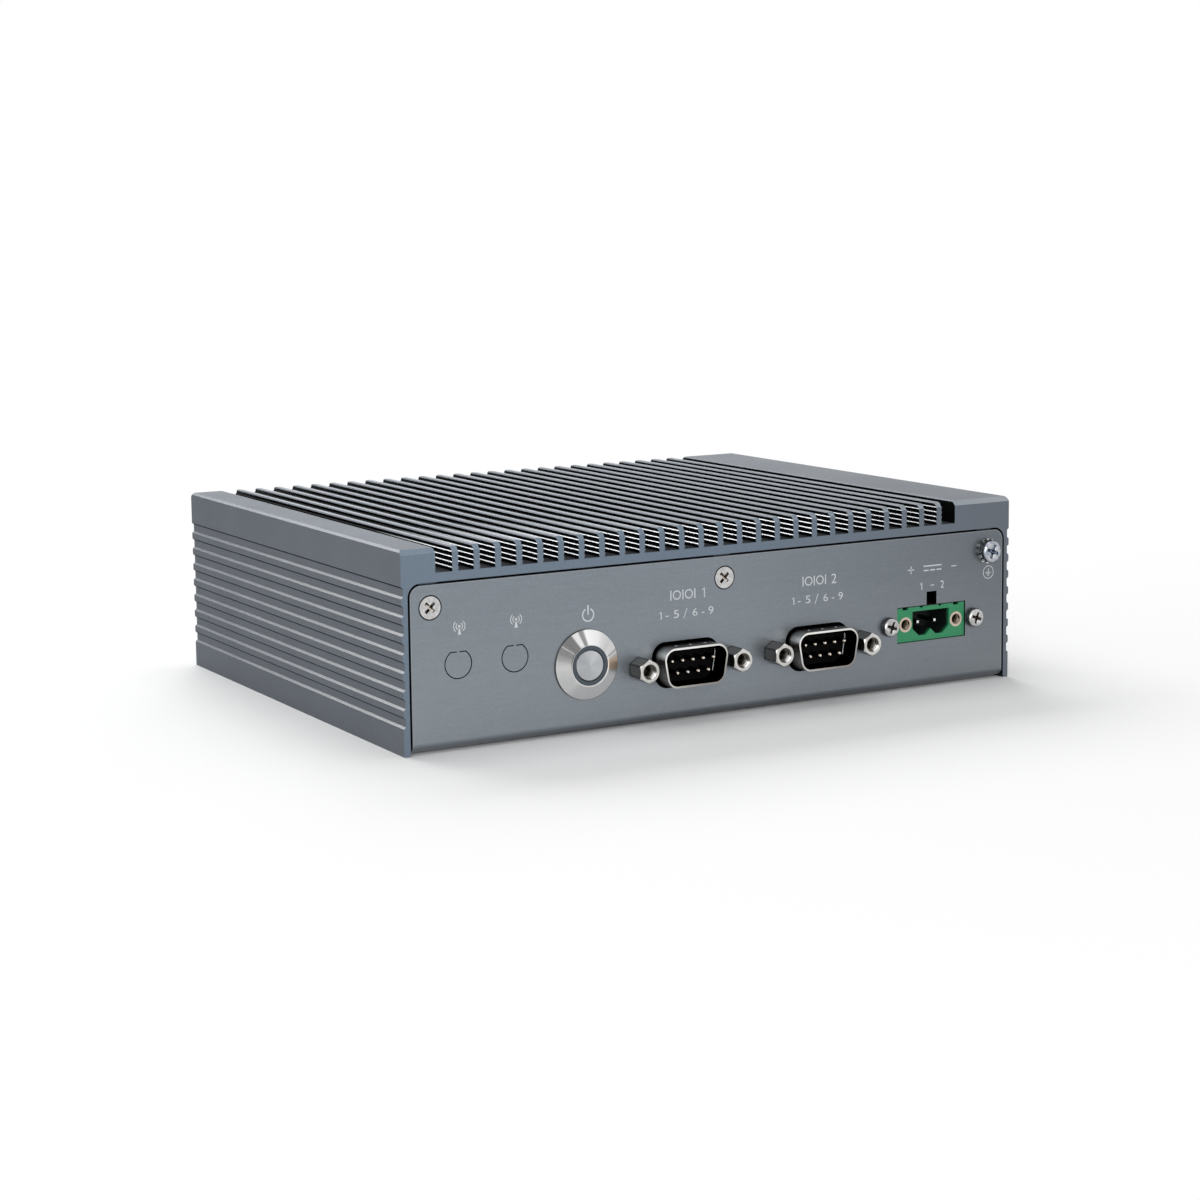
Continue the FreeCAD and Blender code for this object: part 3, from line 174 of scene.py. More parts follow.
# %% Shader arithmetic
class Signal:
    """The output of a shader node. Arithmetic on it adds Math nodes."""

    def __init__(self, finish, output):
        self.finish = finish
        self.output = output

    def math(self, operation, first, second=0.0):
        return self.finish.node("ShaderNodeMath", {"operation": operation}, {0: first, 1: second})

    def __add__(self, other):
        return self.math("ADD", self, other)

    def __radd__(self, other):
        return self.math("ADD", other, self)

    def __sub__(self, other):
        return self.math("SUBTRACT", self, other)

    def __rsub__(self, other):
        return self.math("SUBTRACT", other, self)

    def __mul__(self, other):
        return self.math("MULTIPLY", self, other)

    def __rmul__(self, other):
        return self.math("MULTIPLY", other, self)

    def __truediv__(self, other):
        return self.math("DIVIDE", self, other)

    def __pow__(self, other):
        return self.math("POWER", self, other)

    def __neg__(self):
        return 0.0 - self

    def __abs__(self):
        return self.math("ABSOLUTE", self)

    def sign(self):
        return self.math("SIGN", self)

    def fraction(self):
        return self.math("FRACT", self)

    def above(self, floor):
        return self.math("MAXIMUM", self, floor)

    def below(self, ceiling):
        return self.math("MINIMUM", self, ceiling)

    def rising(self, low, high):
        """0 below low, 1 above high, and a straight climb between."""
        ends = {"Value": self, "From Min": low, "From Max": high, "To Min": 0.0, "To Max": 1.0}
        return self.finish.node("ShaderNodeMapRange", {"clamp": True}, ends)

    def falling(self, low, high):
        """1 below low, 0 above high, and a straight descent between."""
        return 1.0 - self.rising(low, high)


def length(across, upward):
    """Distance from an axis, given the two distances square to it."""
    return (across * across + upward * upward) ** 0.5


class Finish:
    """One material and its node tree."""

    def __init__(self, name):
        self.material = bpy.data.materials.new(name)
        self.material.use_nodes = True
        self.tree = self.material.node_tree
        self.tree.nodes.clear()
        self.place = self.node("ShaderNodeTexCoord", {}, {}, "Object")
        self.facing = self.node("ShaderNodeTexCoord", {}, {}, "Normal")

    def node(self, kind, settings, inputs, output=0):
        node = self.tree.nodes.new(kind)
        for name, value in settings.items():
            if name == "stops":
                ramp = node.color_ramp.elements
                for position, shade in value[1:-1]:
                    ramp.new(position).color = shade
                for end, (position, shade) in ((ramp[0], value[0]), (ramp[-1], value[-1])):
                    end.position = position
                    end.color = shade
            else:
                setattr(node, name, value)
        for name, value in inputs.items():
            if isinstance(value, Signal):
                self.tree.links.new(value.output, node.inputs[name])
            else:
                node.inputs[name].default_value = value
        return Signal(self, node.outputs[output])

    def axis(self, letter):
        return self.node("ShaderNodeSeparateXYZ", {}, {0: self.place}, letter)

    def slope(self, letter):
        return self.node("ShaderNodeSeparateXYZ", {}, {0: self.facing}, letter)

    def noise(self, scale, detail=2.0, roughness=0.5):
        """Noise from 0 to 1; scale gives its cells for each metre along X, Y and Z."""
        scaled = {"Vector": self.place, "Scale": scale}
        place = self.node("ShaderNodeMapping", {"vector_type": "POINT"}, scaled)
        values = {"Vector": place, "Scale": 1.0, "Detail": detail, "Roughness": roughness}
        return self.node("ShaderNodeTexNoise", {}, values, "Fac")

    def grain(self, cells):
        """Fine noise that is the same along X, Y and Z."""
        return self.noise((cells, cells, cells), 3.0, 0.6)

    def rings(self, distance, pitch):
        """Uneven turning marks: noise along one distance only."""
        values = {"W": distance / pitch, "Scale": 1.0, "Detail": 2.0, "Roughness": 0.6}
        return self.node("ShaderNodeTexNoise", {"noise_dimensions": "1D"}, values, "Fac")

    def mix(self, share, first, second):
        values = {0: share, 6: first, 7: second}
        return self.node("ShaderNodeMix", {"data_type": "RGBA"}, values, 2)

    def cover(self, shade, layers):
        """The shade under layers of (share, shade), the last one on top."""
        for share, layer in layers:
            shade = self.mix(share, shade, layer)
        return shade

    def bump(self, height, distance, strength=1.0):
        values = {"Height": height, "Distance": distance, "Strength": strength}
        return self.node("ShaderNodeBump", {}, values)

    def surface(self, shade, **values):
        inputs = {"Base Color": shade}
        inputs.update({name.replace("_", " "): value for name, value in values.items()})
        shader = self.node("ShaderNodeBsdfPrincipled", {}, inputs)
        output = self.tree.nodes.new("ShaderNodeOutputMaterial")
        self.tree.links.new(shader.output, output.inputs["Surface"])
        return self.material


def colour(red, green, blue):
    """A screen colour from 0 to 255 as the linear colour that a shader takes."""
    def linear(value):
        share = value / 255
        return share / 12.92 if share <= 0.04045 else ((share + 0.055) / 1.055) ** 2.4
    return (linear(red), linear(green), linear(blue), 1.0)


def grey(value):
    return colour(value, value, value)


print("a middle grey in shader units:", round(grey(128)[0], 3))

# %% [markdown]
# ## Studio
# A pale floor carries the object and its soft shadow. The world is white where the camera,
# a reflection or a clear surface looks at it, and dimmer as a light, so the metal keeps its
# shades. A large soft lamp behind and above lights everything that faces up, where the finishes
# also paint bright lines as painted highlights. A weak lamp stands overhead, and two softer lamps
# in front begin the panel's slow change from left to right, which its finish carries on as
# painted shade. The floor turns white round the object for the camera and in reflections.

# %% World
WORLD_LIGHT = 0.4


def make_world():
    world = bpy.data.worlds.new("studio")
    world.use_nodes = True
    tree = world.node_tree
    tree.nodes.clear()
    rays = tree.nodes.new("ShaderNodeLightPath")
    seen = rays.outputs["Is Camera Ray"]
    for name in ("Is Glossy Ray", "Is Transmission Ray"):
        either = tree.nodes.new("ShaderNodeMath")
        either.operation = "MAXIMUM"
        tree.links.new(seen, either.inputs[0])
        tree.links.new(rays.outputs[name], either.inputs[1])
        seen = either.outputs[0]
    strength = tree.nodes.new("ShaderNodeMapRange")
    tree.links.new(seen, strength.inputs["Value"])
    strength.inputs["To Min"].default_value = WORLD_LIGHT
    strength.inputs["To Max"].default_value = 1.0
    background = tree.nodes.new("ShaderNodeBackground")
    background.inputs["Color"].default_value = (1, 1, 1, 1)
    tree.links.new(strength.outputs[0], background.inputs["Strength"])
    output = tree.nodes.new("ShaderNodeOutputWorld")
    tree.links.new(background.outputs[0], output.inputs["Surface"])
    bpy.context.scene.world = world
    bpy.context.scene.view_settings.view_transform = "Standard"


make_world()
print("world as a lamp:", WORLD_LIGHT)

# %% Lamps
LAMP_AIM = Vector((0, 0, 0.02))


def make_lamp(name, place, width, height, power, tint):
    data = bpy.data.lights.new(name, "AREA")
    data.shape = "RECTANGLE"
    data.size = width
    data.size_y = height
    data.energy = power
    data.color = tint
    lamp = linked(name, data)
    lamp.location = place
    lamp.rotation_euler = (LAMP_AIM - Vector(place)).to_track_quat("-Z", "Y").to_euler()
    return lamp


LAMPS = [
    make_lamp("back_lamp", (0.0, 1.0, 0.85), 1.3, 0.6, 13.0, (1.0, 1.0, 1.0)),
    make_lamp("top_lamp", (0.0, 0.1, 1.0), 0.8, 0.6, 3.0, (1.0, 1.0, 1.0)),
    make_lamp("key_lamp", (-0.32, -0.75, 0.2), 0.5, 0.4, 2.7, (1.0, 0.99, 0.97)),
    make_lamp("left_lamp", (-0.55, -0.9, 0.35), 0.5, 0.4, 1.2, (0.88, 0.94, 1.0)),
]
print("lamps:", len(LAMPS))

# %% Floor
FLOOR_REACH = 6.0
FLOOR_WHITENS = (0.1, 0.34)
REFLECTION_WHITENS = (0.06, 0.2)


def make_floor():
    bm = bmesh.new()
    bmesh.ops.create_grid(bm, x_segments=1, y_segments=1, size=FLOOR_REACH)
    mesh = bpy.data.meshes.new("floor")
    bm.to_mesh(mesh)
    bm.free()
    floor = linked("floor", mesh)
    finish = Finish("pale_floor")
    camera_ray = finish.node("ShaderNodeLightPath", {}, {}, "Is Camera Ray")
    glossy_ray = finish.node("ShaderNodeLightPath", {}, {}, "Is Glossy Ray")
    clear_ray = finish.node("ShaderNodeLightPath", {}, {}, "Is Transmission Ray")
    x = finish.axis("X")
    radius = length(x, finish.axis("Y"))
    seen = (camera_ray + clear_ray) * radius.rising(*FLOOR_WHITENS)
    right_side = x.rising(0.0, 0.25)
    mirrored = glossy_ray * radius.rising(*REFLECTION_WHITENS) * (1.0 - 0.4 * right_side)
    white = finish.node("ShaderNodeEmission", {}, {"Color": (1, 1, 1, 1), "Strength": 1.0})
    card = finish.node("ShaderNodeBsdfDiffuse", {}, {"Color": (0.86, 0.86, 0.86, 1)})
    lifted = finish.node("ShaderNodeMixShader", {}, {0: seen + mirrored, 1: card, 2: white})
    output = finish.tree.nodes.new("ShaderNodeOutputMaterial")
    finish.tree.links.new(lifted.output, output.inputs["Surface"])
    mesh.materials.append(finish.material)
    return floor


floor = make_floor()
print("floor side:", 2 * FLOOR_REACH)

# %% [markdown]
# ## Housing
# The housing is one aluminium extrusion, bead-blasted and anodised grey. Three things make it
# look real: the fine blast grain, the sawn ends, painted bluer than the drawn faces at the left
# and greyer towards the right as a painted tint of the cool light, and the slots between the
# fins, painted near black as painted shade. There only the small ridges shine, each in one
# painted highlight near the front, and the inner sides of the walls, the feet of the fins and
# all undersides get painted shade. The tops, the lips of the grooves and the edges are painted
# lighter or darker by how they face, as painted light and shade. The slope and the height of
# the surface tell these apart, so no face has to be picked by hand.

# %% Housing
FIN_FOOT = TOP - 5.4 * MM
FIRST_RIDGE = FIN_FOOT + 0.8 * MM
RIDGE_PITCH = 1.15 * MM
FIN_FIELD = (housing_low.x + 8.2 * MM, housing_high.x - 16.4 * MM)
# The painted highlight of a ridge ends over this share of its pitch. These painted lines fade
# out over this depth behind the front, and grow duller over this stretch of X.
RIDGE_LINE = (0.12, 0.17)
GLINTS_END = (6 * MM, 40 * MM)
GLINTS_DIM = (25 * MM, 50 * MM)
EDGE_BAND = 0.7 * MM
SOFT = 0.1 * MM


def housing_finish():
    finish = Finish("housing_finish")
    grain = finish.noise((3000, 3000, 3000), 3.0, 0.65)
    cloud = finish.noise((60, 60, 60))
    die = finish.noise((2600, 12, 2600))
    tone = ((grain - 0.5) * 1.1 + (cloud - 0.5) * 0.3 + 0.5).rising(0.0, 1.0)

    def speckled(dark, light):
        return finish.mix(tone, dark, light)

    x = finish.axis("X")
    y = finish.axis("Y")
    z = finish.axis("Z")
    along = finish.slope("Y")
    up = finish.slope("Z")
    rightwards = x.rising(0.0, housing_high.x)
    rearwards = y.rising(FRONT, REAR) ** 0.65
    foot_height = z - FIN_FOOT

    # Where the surface is level, sloped or facing down, and where it was sawn.
    level = up.rising(0.85, 0.97)
    facing_up = up.rising(0.3, 0.6)
    sloped = facing_up * (1.0 - level)
    top_band = (z - (TOP - EDGE_BAND)).rising(0.0, SOFT)
    ledge = sloped * (1.0 - top_band)
    under = (-up).rising(0.3, 0.6)
    sawn = (along * along).rising(0.3, 0.45)

    # The field of fins, their feet, the slots between them, and the walls under the roof.
    field = (x - FIN_FIELD[0]).rising(0.0, SOFT) * (FIN_FIELD[1] - x).rising(0.0, SOFT)
    foot = field * foot_height.falling(SOFT, 2 * SOFT) * foot_height.rising(-3 * SOFT, -2 * SOFT)
    slot = field * foot_height.rising(-SOFT, 0.0) * (1.0 - facing_up)
    inner_wall = (-(x * finish.slope("X"))).rising(0.03, 0.05) * (FIN_FOOT - z).rising(0.0, SOFT)

    # Painted light and shade that change to the right or to the rear, and the painted highlights
    # of the ridges with painted shade between them.
    dark_top = finish.mix(rightwards, colour(87, 91, 96), colour(99, 103, 108))
    light_top = finish.mix(rightwards, colour(132, 136, 142), colour(147, 151, 157))
    dark_lip = finish.mix(rearwards, colour(122, 124, 126), colour(96, 99, 103))
    light_lip = finish.mix(rearwards, colour(176, 178, 180), colour(136, 139, 143))
    dark_end = finish.mix(rightwards, colour(98, 111, 125), colour(94, 100, 108))
    light_end = finish.mix(rightwards, colour(118, 130, 143), colour(112, 118, 126))
    bevel_highlight = finish.mix(rightwards, colour(114, 127, 140), colour(164, 169, 174))
    deep = (y - FRONT).rising(*GLINTS_END)
    bright = finish.mix(x.rising(*GLINTS_DIM), colour(214, 217, 220), colour(176, 179, 182))
    unlit = deep.above(((z - FIRST_RIDGE) / RIDGE_PITCH).fraction().rising(*RIDGE_LINE))
    glint = finish.mix(unlit, bright, colour(18, 20, 22))

    # The drawn walls in their blast grain; over them the painted light and shade of each kind of
    # face.
    shade = finish.cover(speckled(colour(98, 103, 110), colour(126, 131, 138)), [
        # Level tops: painted shade, lighter towards the right as painted light.
        (level, speckled(dark_top, light_top)),
        # Lips of the grooves: painted highlights, dimmer towards the rear.
        (ledge, speckled(dark_lip, light_lip)),
        # Undersides: painted shade.
        (under * 0.9, colour(26, 28, 31)),
        # Edge breaks along the top: painted highlight.
        (sloped * top_band, speckled(colour(124, 127, 131), colour(154, 157, 161))),
        # Tops of the fins: painted light.
        (field * level, speckled(colour(116, 120, 126), colour(170, 174, 180))),
        # Ridges between the fins: painted highlights, with painted shade between them.
        (field * ledge, glint),
        # Chamfers on the fin tips: painted shade.
        (field * sloped * top_band, speckled(colour(84, 88, 93), colour(112, 116, 121))),
        # Feet of the fins, the slots and the inner walls: painted shade.
        (foot * 0.85, colour(36, 38, 41)),
        (slot, colour(7, 8, 9)),
        (inner_wall * 0.95, colour(16, 18, 20)),
        # Sawn ends: a painted tint of the cool light, bluer at the left, in their blast grain.
        (sawn, speckled(dark_end, light_end)),
        # Bevels on the sawn ends: painted highlight, brighter towards the right.
        (sawn * facing_up * 0.8, bevel_highlight),
    ])
    relief = finish.bump(grain * 0.7 + die * 0.3, 0.02 * MM, 0.6)
    return finish.surface(
        shade, Metallic=0.75, Roughness=0.42 + 0.14 * grain, Normal=relief,
        Specular_Tint=grey(150),
    )


FINISHES = {"housing_finish": housing_finish()}
print("fin field in mm:", [round(edge / MM, 1) for edge in FIN_FIELD])

# %% [markdown]
# ## Panel
# The folded sheet is steel, brushed along its length and coated clear. Brushing leaves short
# fine lines, so the noise is stretched at least twenty-five times along X. The panel is painted a
# little darker towards the right as painted shade and paler towards its foot as painted light,
# its rim is a painted highlight with a painted shadow line outside it, and the bend at its foot
# has painted shade. The walls of every hole and slot are painted near black, a painted shade that
# draws the thin black outlines of the knock-outs and the countersinks.

# %% Panel
PANEL_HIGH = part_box("chassis")[1]
PANEL_CORNER = 2.58 * MM
BASE_ZONE = 2.6 * MM
EDGE_LINE = 0.3 * MM


def panel_finish():
    finish = Finish("panel_finish")
    brush = finish.noise((260, 900, 6500), 3.0, 0.6)
    streak = finish.noise((40, 400, 1500))
    speck = finish.noise((3500, 3500, 3500))
    tone = (brush - 0.5) * 0.5 + (streak - 0.5) * 0.15 + (speck - 0.5) * 0.6 + 0.5
    x = finish.axis("X")
    z = finish.axis("Z")
    across = finish.slope("Y")
    beside = (abs(x) - (PANEL_HIGH.x - PANEL_CORNER)).above(0.0)
    over = (z - (PANEL_HIGH.z - PANEL_CORNER)).above(0.0)
    inward = PANEL_CORNER - length(beside, over)
    # Walls of holes and slots, which face away from the front: painted shade, near black.
    cut_wall_shade = (1.0 - across * across).rising(0.2, 0.6) * z.rising(BASE_ZONE, 1.1 * BASE_ZONE)
    brushed = finish.mix(tone.rising(0.0, 1.0), colour(110, 117, 123), colour(141, 149, 156))
    # Over the brushed tone: painted shade to the right, painted light at the foot, the rim's
    # painted highlight and painted shadow line, the bend's painted shade, and the cut walls'
    # painted shade.
    shade = finish.cover(brushed, [
        (x.rising(0.0, PANEL_HIGH.x) * 0.4, colour(52, 54, 56)),
        (z.falling(4 * MM, 30 * MM) * 0.08, colour(215, 220, 226)),
        (inward.falling(0.5 * EDGE_LINE, EDGE_LINE) * 0.5, colour(176, 182, 188)),
        (inward.falling(0.3 * EDGE_LINE, 0.5 * EDGE_LINE) * 0.9, grey(24)),
        (z.falling(0.6 * BASE_ZONE, BASE_ZONE) * 0.45, colour(60, 64, 69)),
        (cut_wall_shade, grey(24)),
    ])
    relief = finish.bump(brush * 0.6 + speck * 0.4, 0.01 * MM, 0.6)
    return finish.surface(shade, Metallic=0.85, Roughness=0.3 + 0.14 * brush, Normal=relief)


FINISHES["panel_finish"] = panel_finish()
print("top of the panel in mm:", round(PANEL_HIGH.z / MM, 2))

# %% [markdown]
# ## Plain metals and plastics
# These need only a fine grain in colour, gloss and height, so two functions make them all.

# %% Plain metals and plastics
METAL_GRAIN = 2500
PLASTIC_GRAIN = 4000
GRAIN_DEPTH = 0.01 * MM


def metal(name, light, dark, rough, cells=METAL_GRAIN):
    finish = Finish(name)
    grain = finish.grain(cells)
    shade = finish.mix(grain, dark, light)
    relief = finish.bump(grain, GRAIN_DEPTH, 0.4)
    return finish.surface(shade, Metallic=1.0, Roughness=rough + 0.1 * grain, Normal=relief)


def plastic(name, light, dark, rough, gloss=0.5):
    finish = Finish(name)
    grain = finish.grain(PLASTIC_GRAIN)
    shade = finish.mix(grain, dark, light)
    relief = finish.bump(grain, GRAIN_DEPTH, 0.5)
    values = {"Roughness": rough + 0.12 * grain, "Normal": relief, "Specular IOR Level": gloss}
    return finish.surface(shade, **values)


METALS = {
    "screw_steel": (grey(206), grey(176), 0.22),
    "bright_steel": (grey(205), grey(180), 0.24),
    "plated_steel": (colour(186, 183, 179), colour(158, 155, 151), 0.24),
    "contact_gold": (colour(228, 200, 150), colour(205, 172, 118), 0.2),
    "tin_contact": (grey(232), grey(214), 0.28),
    "brass_post": (colour(214, 188, 128), colour(190, 160, 100), 0.28),
    "block_aluminium": (colour(214, 216, 218), colour(194, 196, 199), 0.34),
    "can_aluminium": (colour(214, 216, 218), colour(194, 196, 199), 0.3),
}
PLASTICS = {
    "light_ring": (colour(72, 80, 87), colour(60, 68, 75), 0.4, 0.3),
    "black_plastic": (grey(22), grey(15), 0.5),
    "chip_black": (grey(40), grey(30), 0.5),
    # Serial insulators: their own black, set darker and less glossy than the other black plastic
    # as painted shade inside the collars.
    "port_black": (grey(5), grey(3), 0.6, 0.08),
    "blue_plastic": (colour(32, 96, 180), colour(24, 80, 160), 0.4),
    "board_green": (colour(28, 92, 60), colour(20, 76, 48), 0.35),
    "pad_grey": (colour(160, 168, 178), colour(144, 152, 162), 0.7),
    "choke_grey": (grey(92), grey(76), 0.6),
}
FINISHES.update({name: metal(name, *look) for name, look in METALS.items()})
FINISHES.update({name: plastic(name, *look) for name, look in PLASTICS.items()})
print("plain finishes:", len(FINISHES))

# %% [markdown]
# ## Turned steel
# The bezel and the disc of the power switch were faced on a lathe. The tool leaves rings too
# fine to see, and they fan every reflection out into wedges, light and dark, about the axis.
# Here the wedges are painted reflections: a ramp over the angle paints them into the colour, and
# noise over the radius gives the rings. Each ends in a painted shadow line at its rim, and the
# bezel has a painted highlight on its lip.

# %% Turned steel
# Painted reflections: an angle in degrees about the switch's axis, from +X towards +Z, and the
# shade there.
BEZEL_WEDGES = [
    (-180, grey(164)), (-165, grey(198)), (-135, grey(222)), (-120, grey(208)), (-90, grey(214)),
    (-60, grey(234)), (-16, grey(255)), (-12, colour(255, 228, 200)), (8, colour(255, 230, 204)),
    (12, grey(236)), (17, grey(255)), (20, grey(160)), (23, grey(240)), (42, grey(212)),
    (58, grey(228)), (66, grey(244)), (94, grey(255)), (98, grey(150)), (105, grey(130)),
    (108, grey(220)), (117, grey(208)), (121, grey(90)), (135, grey(46)), (142, grey(48)),
    (143, grey(140)), (144, grey(40)), (155, grey(38)), (166, grey(84)), (180, grey(160)),
]
DISC_WEDGES = [
    (-180, colour(182, 185, 189)), (-135, colour(176, 179, 183)), (-80, colour(182, 185, 189)),
    (-35, colour(194, 197, 201)), (10, colour(184, 187, 191)), (62, colour(206, 209, 213)),
    (112, colour(184, 187, 191)), (150, colour(170, 173, 177)), (180, colour(182, 185, 189)),
]
BEZEL_RADIUS = half_width("switch_bezel")
RING_RADIUS = half_width("switch_ring")
OUTLINE = 0.1 * MM
LIP = 0.25 * MM
NO_LIP = -LIP


def turned_steel(name, wedges, rough, rim_radius, lip_radius=NO_LIP):
    """Lathe-faced steel about the switch's axis; wedges are (degrees, shade).

    It ends in a painted shadow line at rim_radius, and begins with a painted highlight on its lip
    at lip_radius; the wedges are painted reflections.
    """
    finish = Finish(name)
    across = finish.axis("X") - SWITCH.x
    upward = finish.axis("Z") - SWITCH.z
    turn = upward.math("ARCTAN2", upward, across)
    stops = [(angle / 360 + 0.5, shade) for angle, shade in wedges]
    fan = finish.node("ShaderNodeValToRGB", {"stops": stops}, {0: turn / (2 * math.pi) + 0.5})
    radius = length(across, upward)
    rings = finish.rings(radius, 0.05 * MM)
    # Painted reflections from the fan, the turning marks, a painted shadow line and a painted
    # highlight.
    shade = finish.cover(fan, [
        (rings * 0.35, grey(150)),
        (radius.rising(rim_radius - OUTLINE, rim_radius - OUTLINE / 2), grey(60)),
        (radius.falling(lip_radius, lip_radius + LIP), grey(236)),
    ])
    relief = finish.bump(rings, GRAIN_DEPTH, 0.7)
    return finish.surface(shade, Metallic=1.0, Roughness=rough + 0.08 * rings, Normal=relief)


bezel_steel = turned_steel("bezel_steel", BEZEL_WEDGES, 0.34, BEZEL_RADIUS, RING_RADIUS)
disc_steel = turned_steel("disc_steel", DISC_WEDGES, 0.3, RING_RADIUS)
print("bezel radius in mm:", round(BEZEL_RADIUS / MM, 2))

# %% [markdown]
# ## Plated port metal
# The collars of the serial ports are dull nickel with a rolled rim. The rim has a painted
# highlight, brightest to the upper left, the tops are painted lighter as painted light, and the
# collars are painted darker towards the panel as painted shade. Their inner walls are painted
# near black as painted shade behind the plug face, but for one painted highlight line where the
# right wall meets the insulator, and a painted shadow rings each collar in the panel's cut-out.
# On the hex screws the end face is painted bright and the flats dull, lighter on top, as painted
# light, with painted shade on the corners, in a line where they meet the collar, in the mouth and
# deeper in the bore, and a painted glint low and right in the mouth. Distances are taken from the
# middle of the nearer port, so one formula serves both, or from the nearer of its screws.

# %% Plated port metal
PORTS_MIDDLE = (PORTS[0].x + PORTS[1].x) / 2
PORTS_HALF = (PORTS[1].x - PORTS[0].x) / 2
INSULATOR_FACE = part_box("serial_1_insulator")[0].y
RIM = 0.22 * MM
RIM_SHINE = 4 * MM
CUTOUT_DEPTH = 0.2 * MM
SEAM = 0.24 * MM


def from_port(finish):
    """Distance to the right of the middle of the nearer port, and height above it."""
    beside = finish.axis("X") - PORTS_MIDDLE
    return beside - beside.sign() * PORTS_HALF, finish.axis("Z") - PORTS[0].z


def port_nickel():
    finish = Finish("port_nickel")
    grain = finish.grain(METAL_GRAIN)
    smear = finish.noise((700, 120, 700))
    across, upward = from_port(finish)
    y = finish.axis("Y")
    behind_tip = y - SHELL_TIP
    outward = across * finish.slope("X") + upward * finish.slope("Z")
    inner = outward.falling(-0.1 * MM, 0.1 * MM)
    # The line where the right inner wall meets the insulator: a painted highlight.
    seam_glint = abs(y - (INSULATOR_FACE - SEAM)).falling(0.5 * SEAM, SEAM)
    seam_glint = seam_glint * inner * (-finish.slope("X")).rising(0.94, 0.97)
    # Painted highlight on the rolled rim, brightest to the upper left.
    lit = (upward * 0.7 - across * 0.3) / RIM_SHINE + (smear - 0.5) * 0.5
    rim_highlight = finish.mix(lit.rising(-1.0, 0.8), colour(150, 146, 141), colour(240, 239, 236))
    behind = (y - (FRONT - CUTOUT_DEPTH)).rising(0.0, 0.4 * CUTOUT_DEPTH)
    walled = inner * (-finish.slope("Y")).falling(0.5, 0.9)
    dull = finish.mix(grain * 0.4 + smear * 0.6, colour(124, 118, 112), colour(210, 204, 196))
    # Over the dull nickel: painted light on top, painted shade towards the panel and on the inner
    # walls, the seam's and the rim's painted highlights, and painted shadow in the cut-out.
    shade = finish.cover(dull, [
        (finish.slope("Z").rising(0.2, 0.9) * 0.6, grey(206)),
        (behind_tip.rising(1.0 * MM, 4.5 * MM) * 0.85, grey(34)),
        (inner, grey(5)),
        (seam_glint, grey(255)),
        (behind_tip.falling(0.6 * RIM, RIM), rim_highlight),
        (behind * (1.0 - walled), grey(6)),
    ])
    relief = finish.bump(grain, GRAIN_DEPTH, 0.4)
    return finish.surface(
        shade, Metallic=1.0 - seam_glint, Roughness=0.24 + 0.1 * grain, Normal=relief,
        Specular_Tint=grey(150),
    )


JACK_BORE = 1.4 * MM
JACK_MOUTH = 1.75 * MM
JACK_CORNER = (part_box("jackscrews")[1].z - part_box("jackscrews")[0].z) / 2
CORNER_LINE = (JACK_CORNER - 0.13 * MM, JACK_CORNER - 0.06 * MM)
REAR_LINE = (-0.5 * MM, -0.3 * MM)
BORE_DARKENS = (0.8 * MM, 3.0 * MM)


def jack_nickel():
    finish = Finish("jack_nickel")
    grain = finish.grain(METAL_GRAIN)
    smear = finish.noise((900, 900, 900))
    across, upward = from_port(finish)
    y = finish.axis("Y")
    beside = across - across.sign() * (JACK_SPACING / 2)
    radius = length(beside, upward)
    behind_tip = y - JACK_TIP
    mouth = radius.falling(JACK_MOUTH - 0.04 * MM, JACK_MOUTH + 0.06 * MM)
    bore = radius.falling(JACK_BORE, JACK_BORE + 0.06 * MM)
    dark_line = radius.rising(*CORNER_LINE).above((y - FRONT).rising(*REAR_LINE))
    glint = ((beside - upward) / radius).rising(1.1, 1.35)
    glint = glint * behind_tip.falling(0.5 * MM, 1.2 * MM)
    end_face = finish.mix(smear, colour(176, 173, 169), colour(232, 230, 227))
    bore_depth = behind_tip.rising(*BORE_DARKENS)
    # Over the dull flats: painted light on top, painted shade on the corners and the rear line,
    # the end face painted bright, painted shade in the mouth and deeper in the bore, and a painted
    # glint.
    shade = finish.cover(finish.mix(grain, colour(88, 84, 81), colour(124, 119, 115)), [
        (finish.slope("Z").rising(0.2, 0.9) * 0.5, colour(150, 146, 142)),
        (dark_line * 0.85, colour(16, 16, 18)),
        ((-finish.slope("Y")).rising(0.2, 0.6), end_face),
        (mouth * 0.9, colour(52, 47, 43)),
        (bore, finish.mix(bore_depth, colour(150, 146, 140), colour(64, 60, 56))),
        (glint * mouth, grey(245)),
    ])
    relief = finish.bump(grain, GRAIN_DEPTH, 0.4)
    return finish.surface(shade, Metallic=1.0, Roughness=0.2 + 0.1 * grain, Normal=relief)


port_metal = port_nickel()
jack_metal = jack_nickel()
print("rim width in mm:", RIM / MM)

# %% [markdown]
# ## Contact pins
# Only the tips of the pins are bright. Right behind the tip their shanks are painted dark, a
# painted shadow of the collar. The two supply pins are square and bevelled, and their bevels get
# the painted shadow too, so that of their ends only the middle is bright.

# %% Contact pins
BEVEL_BEGINS = (0.62, 0.72)


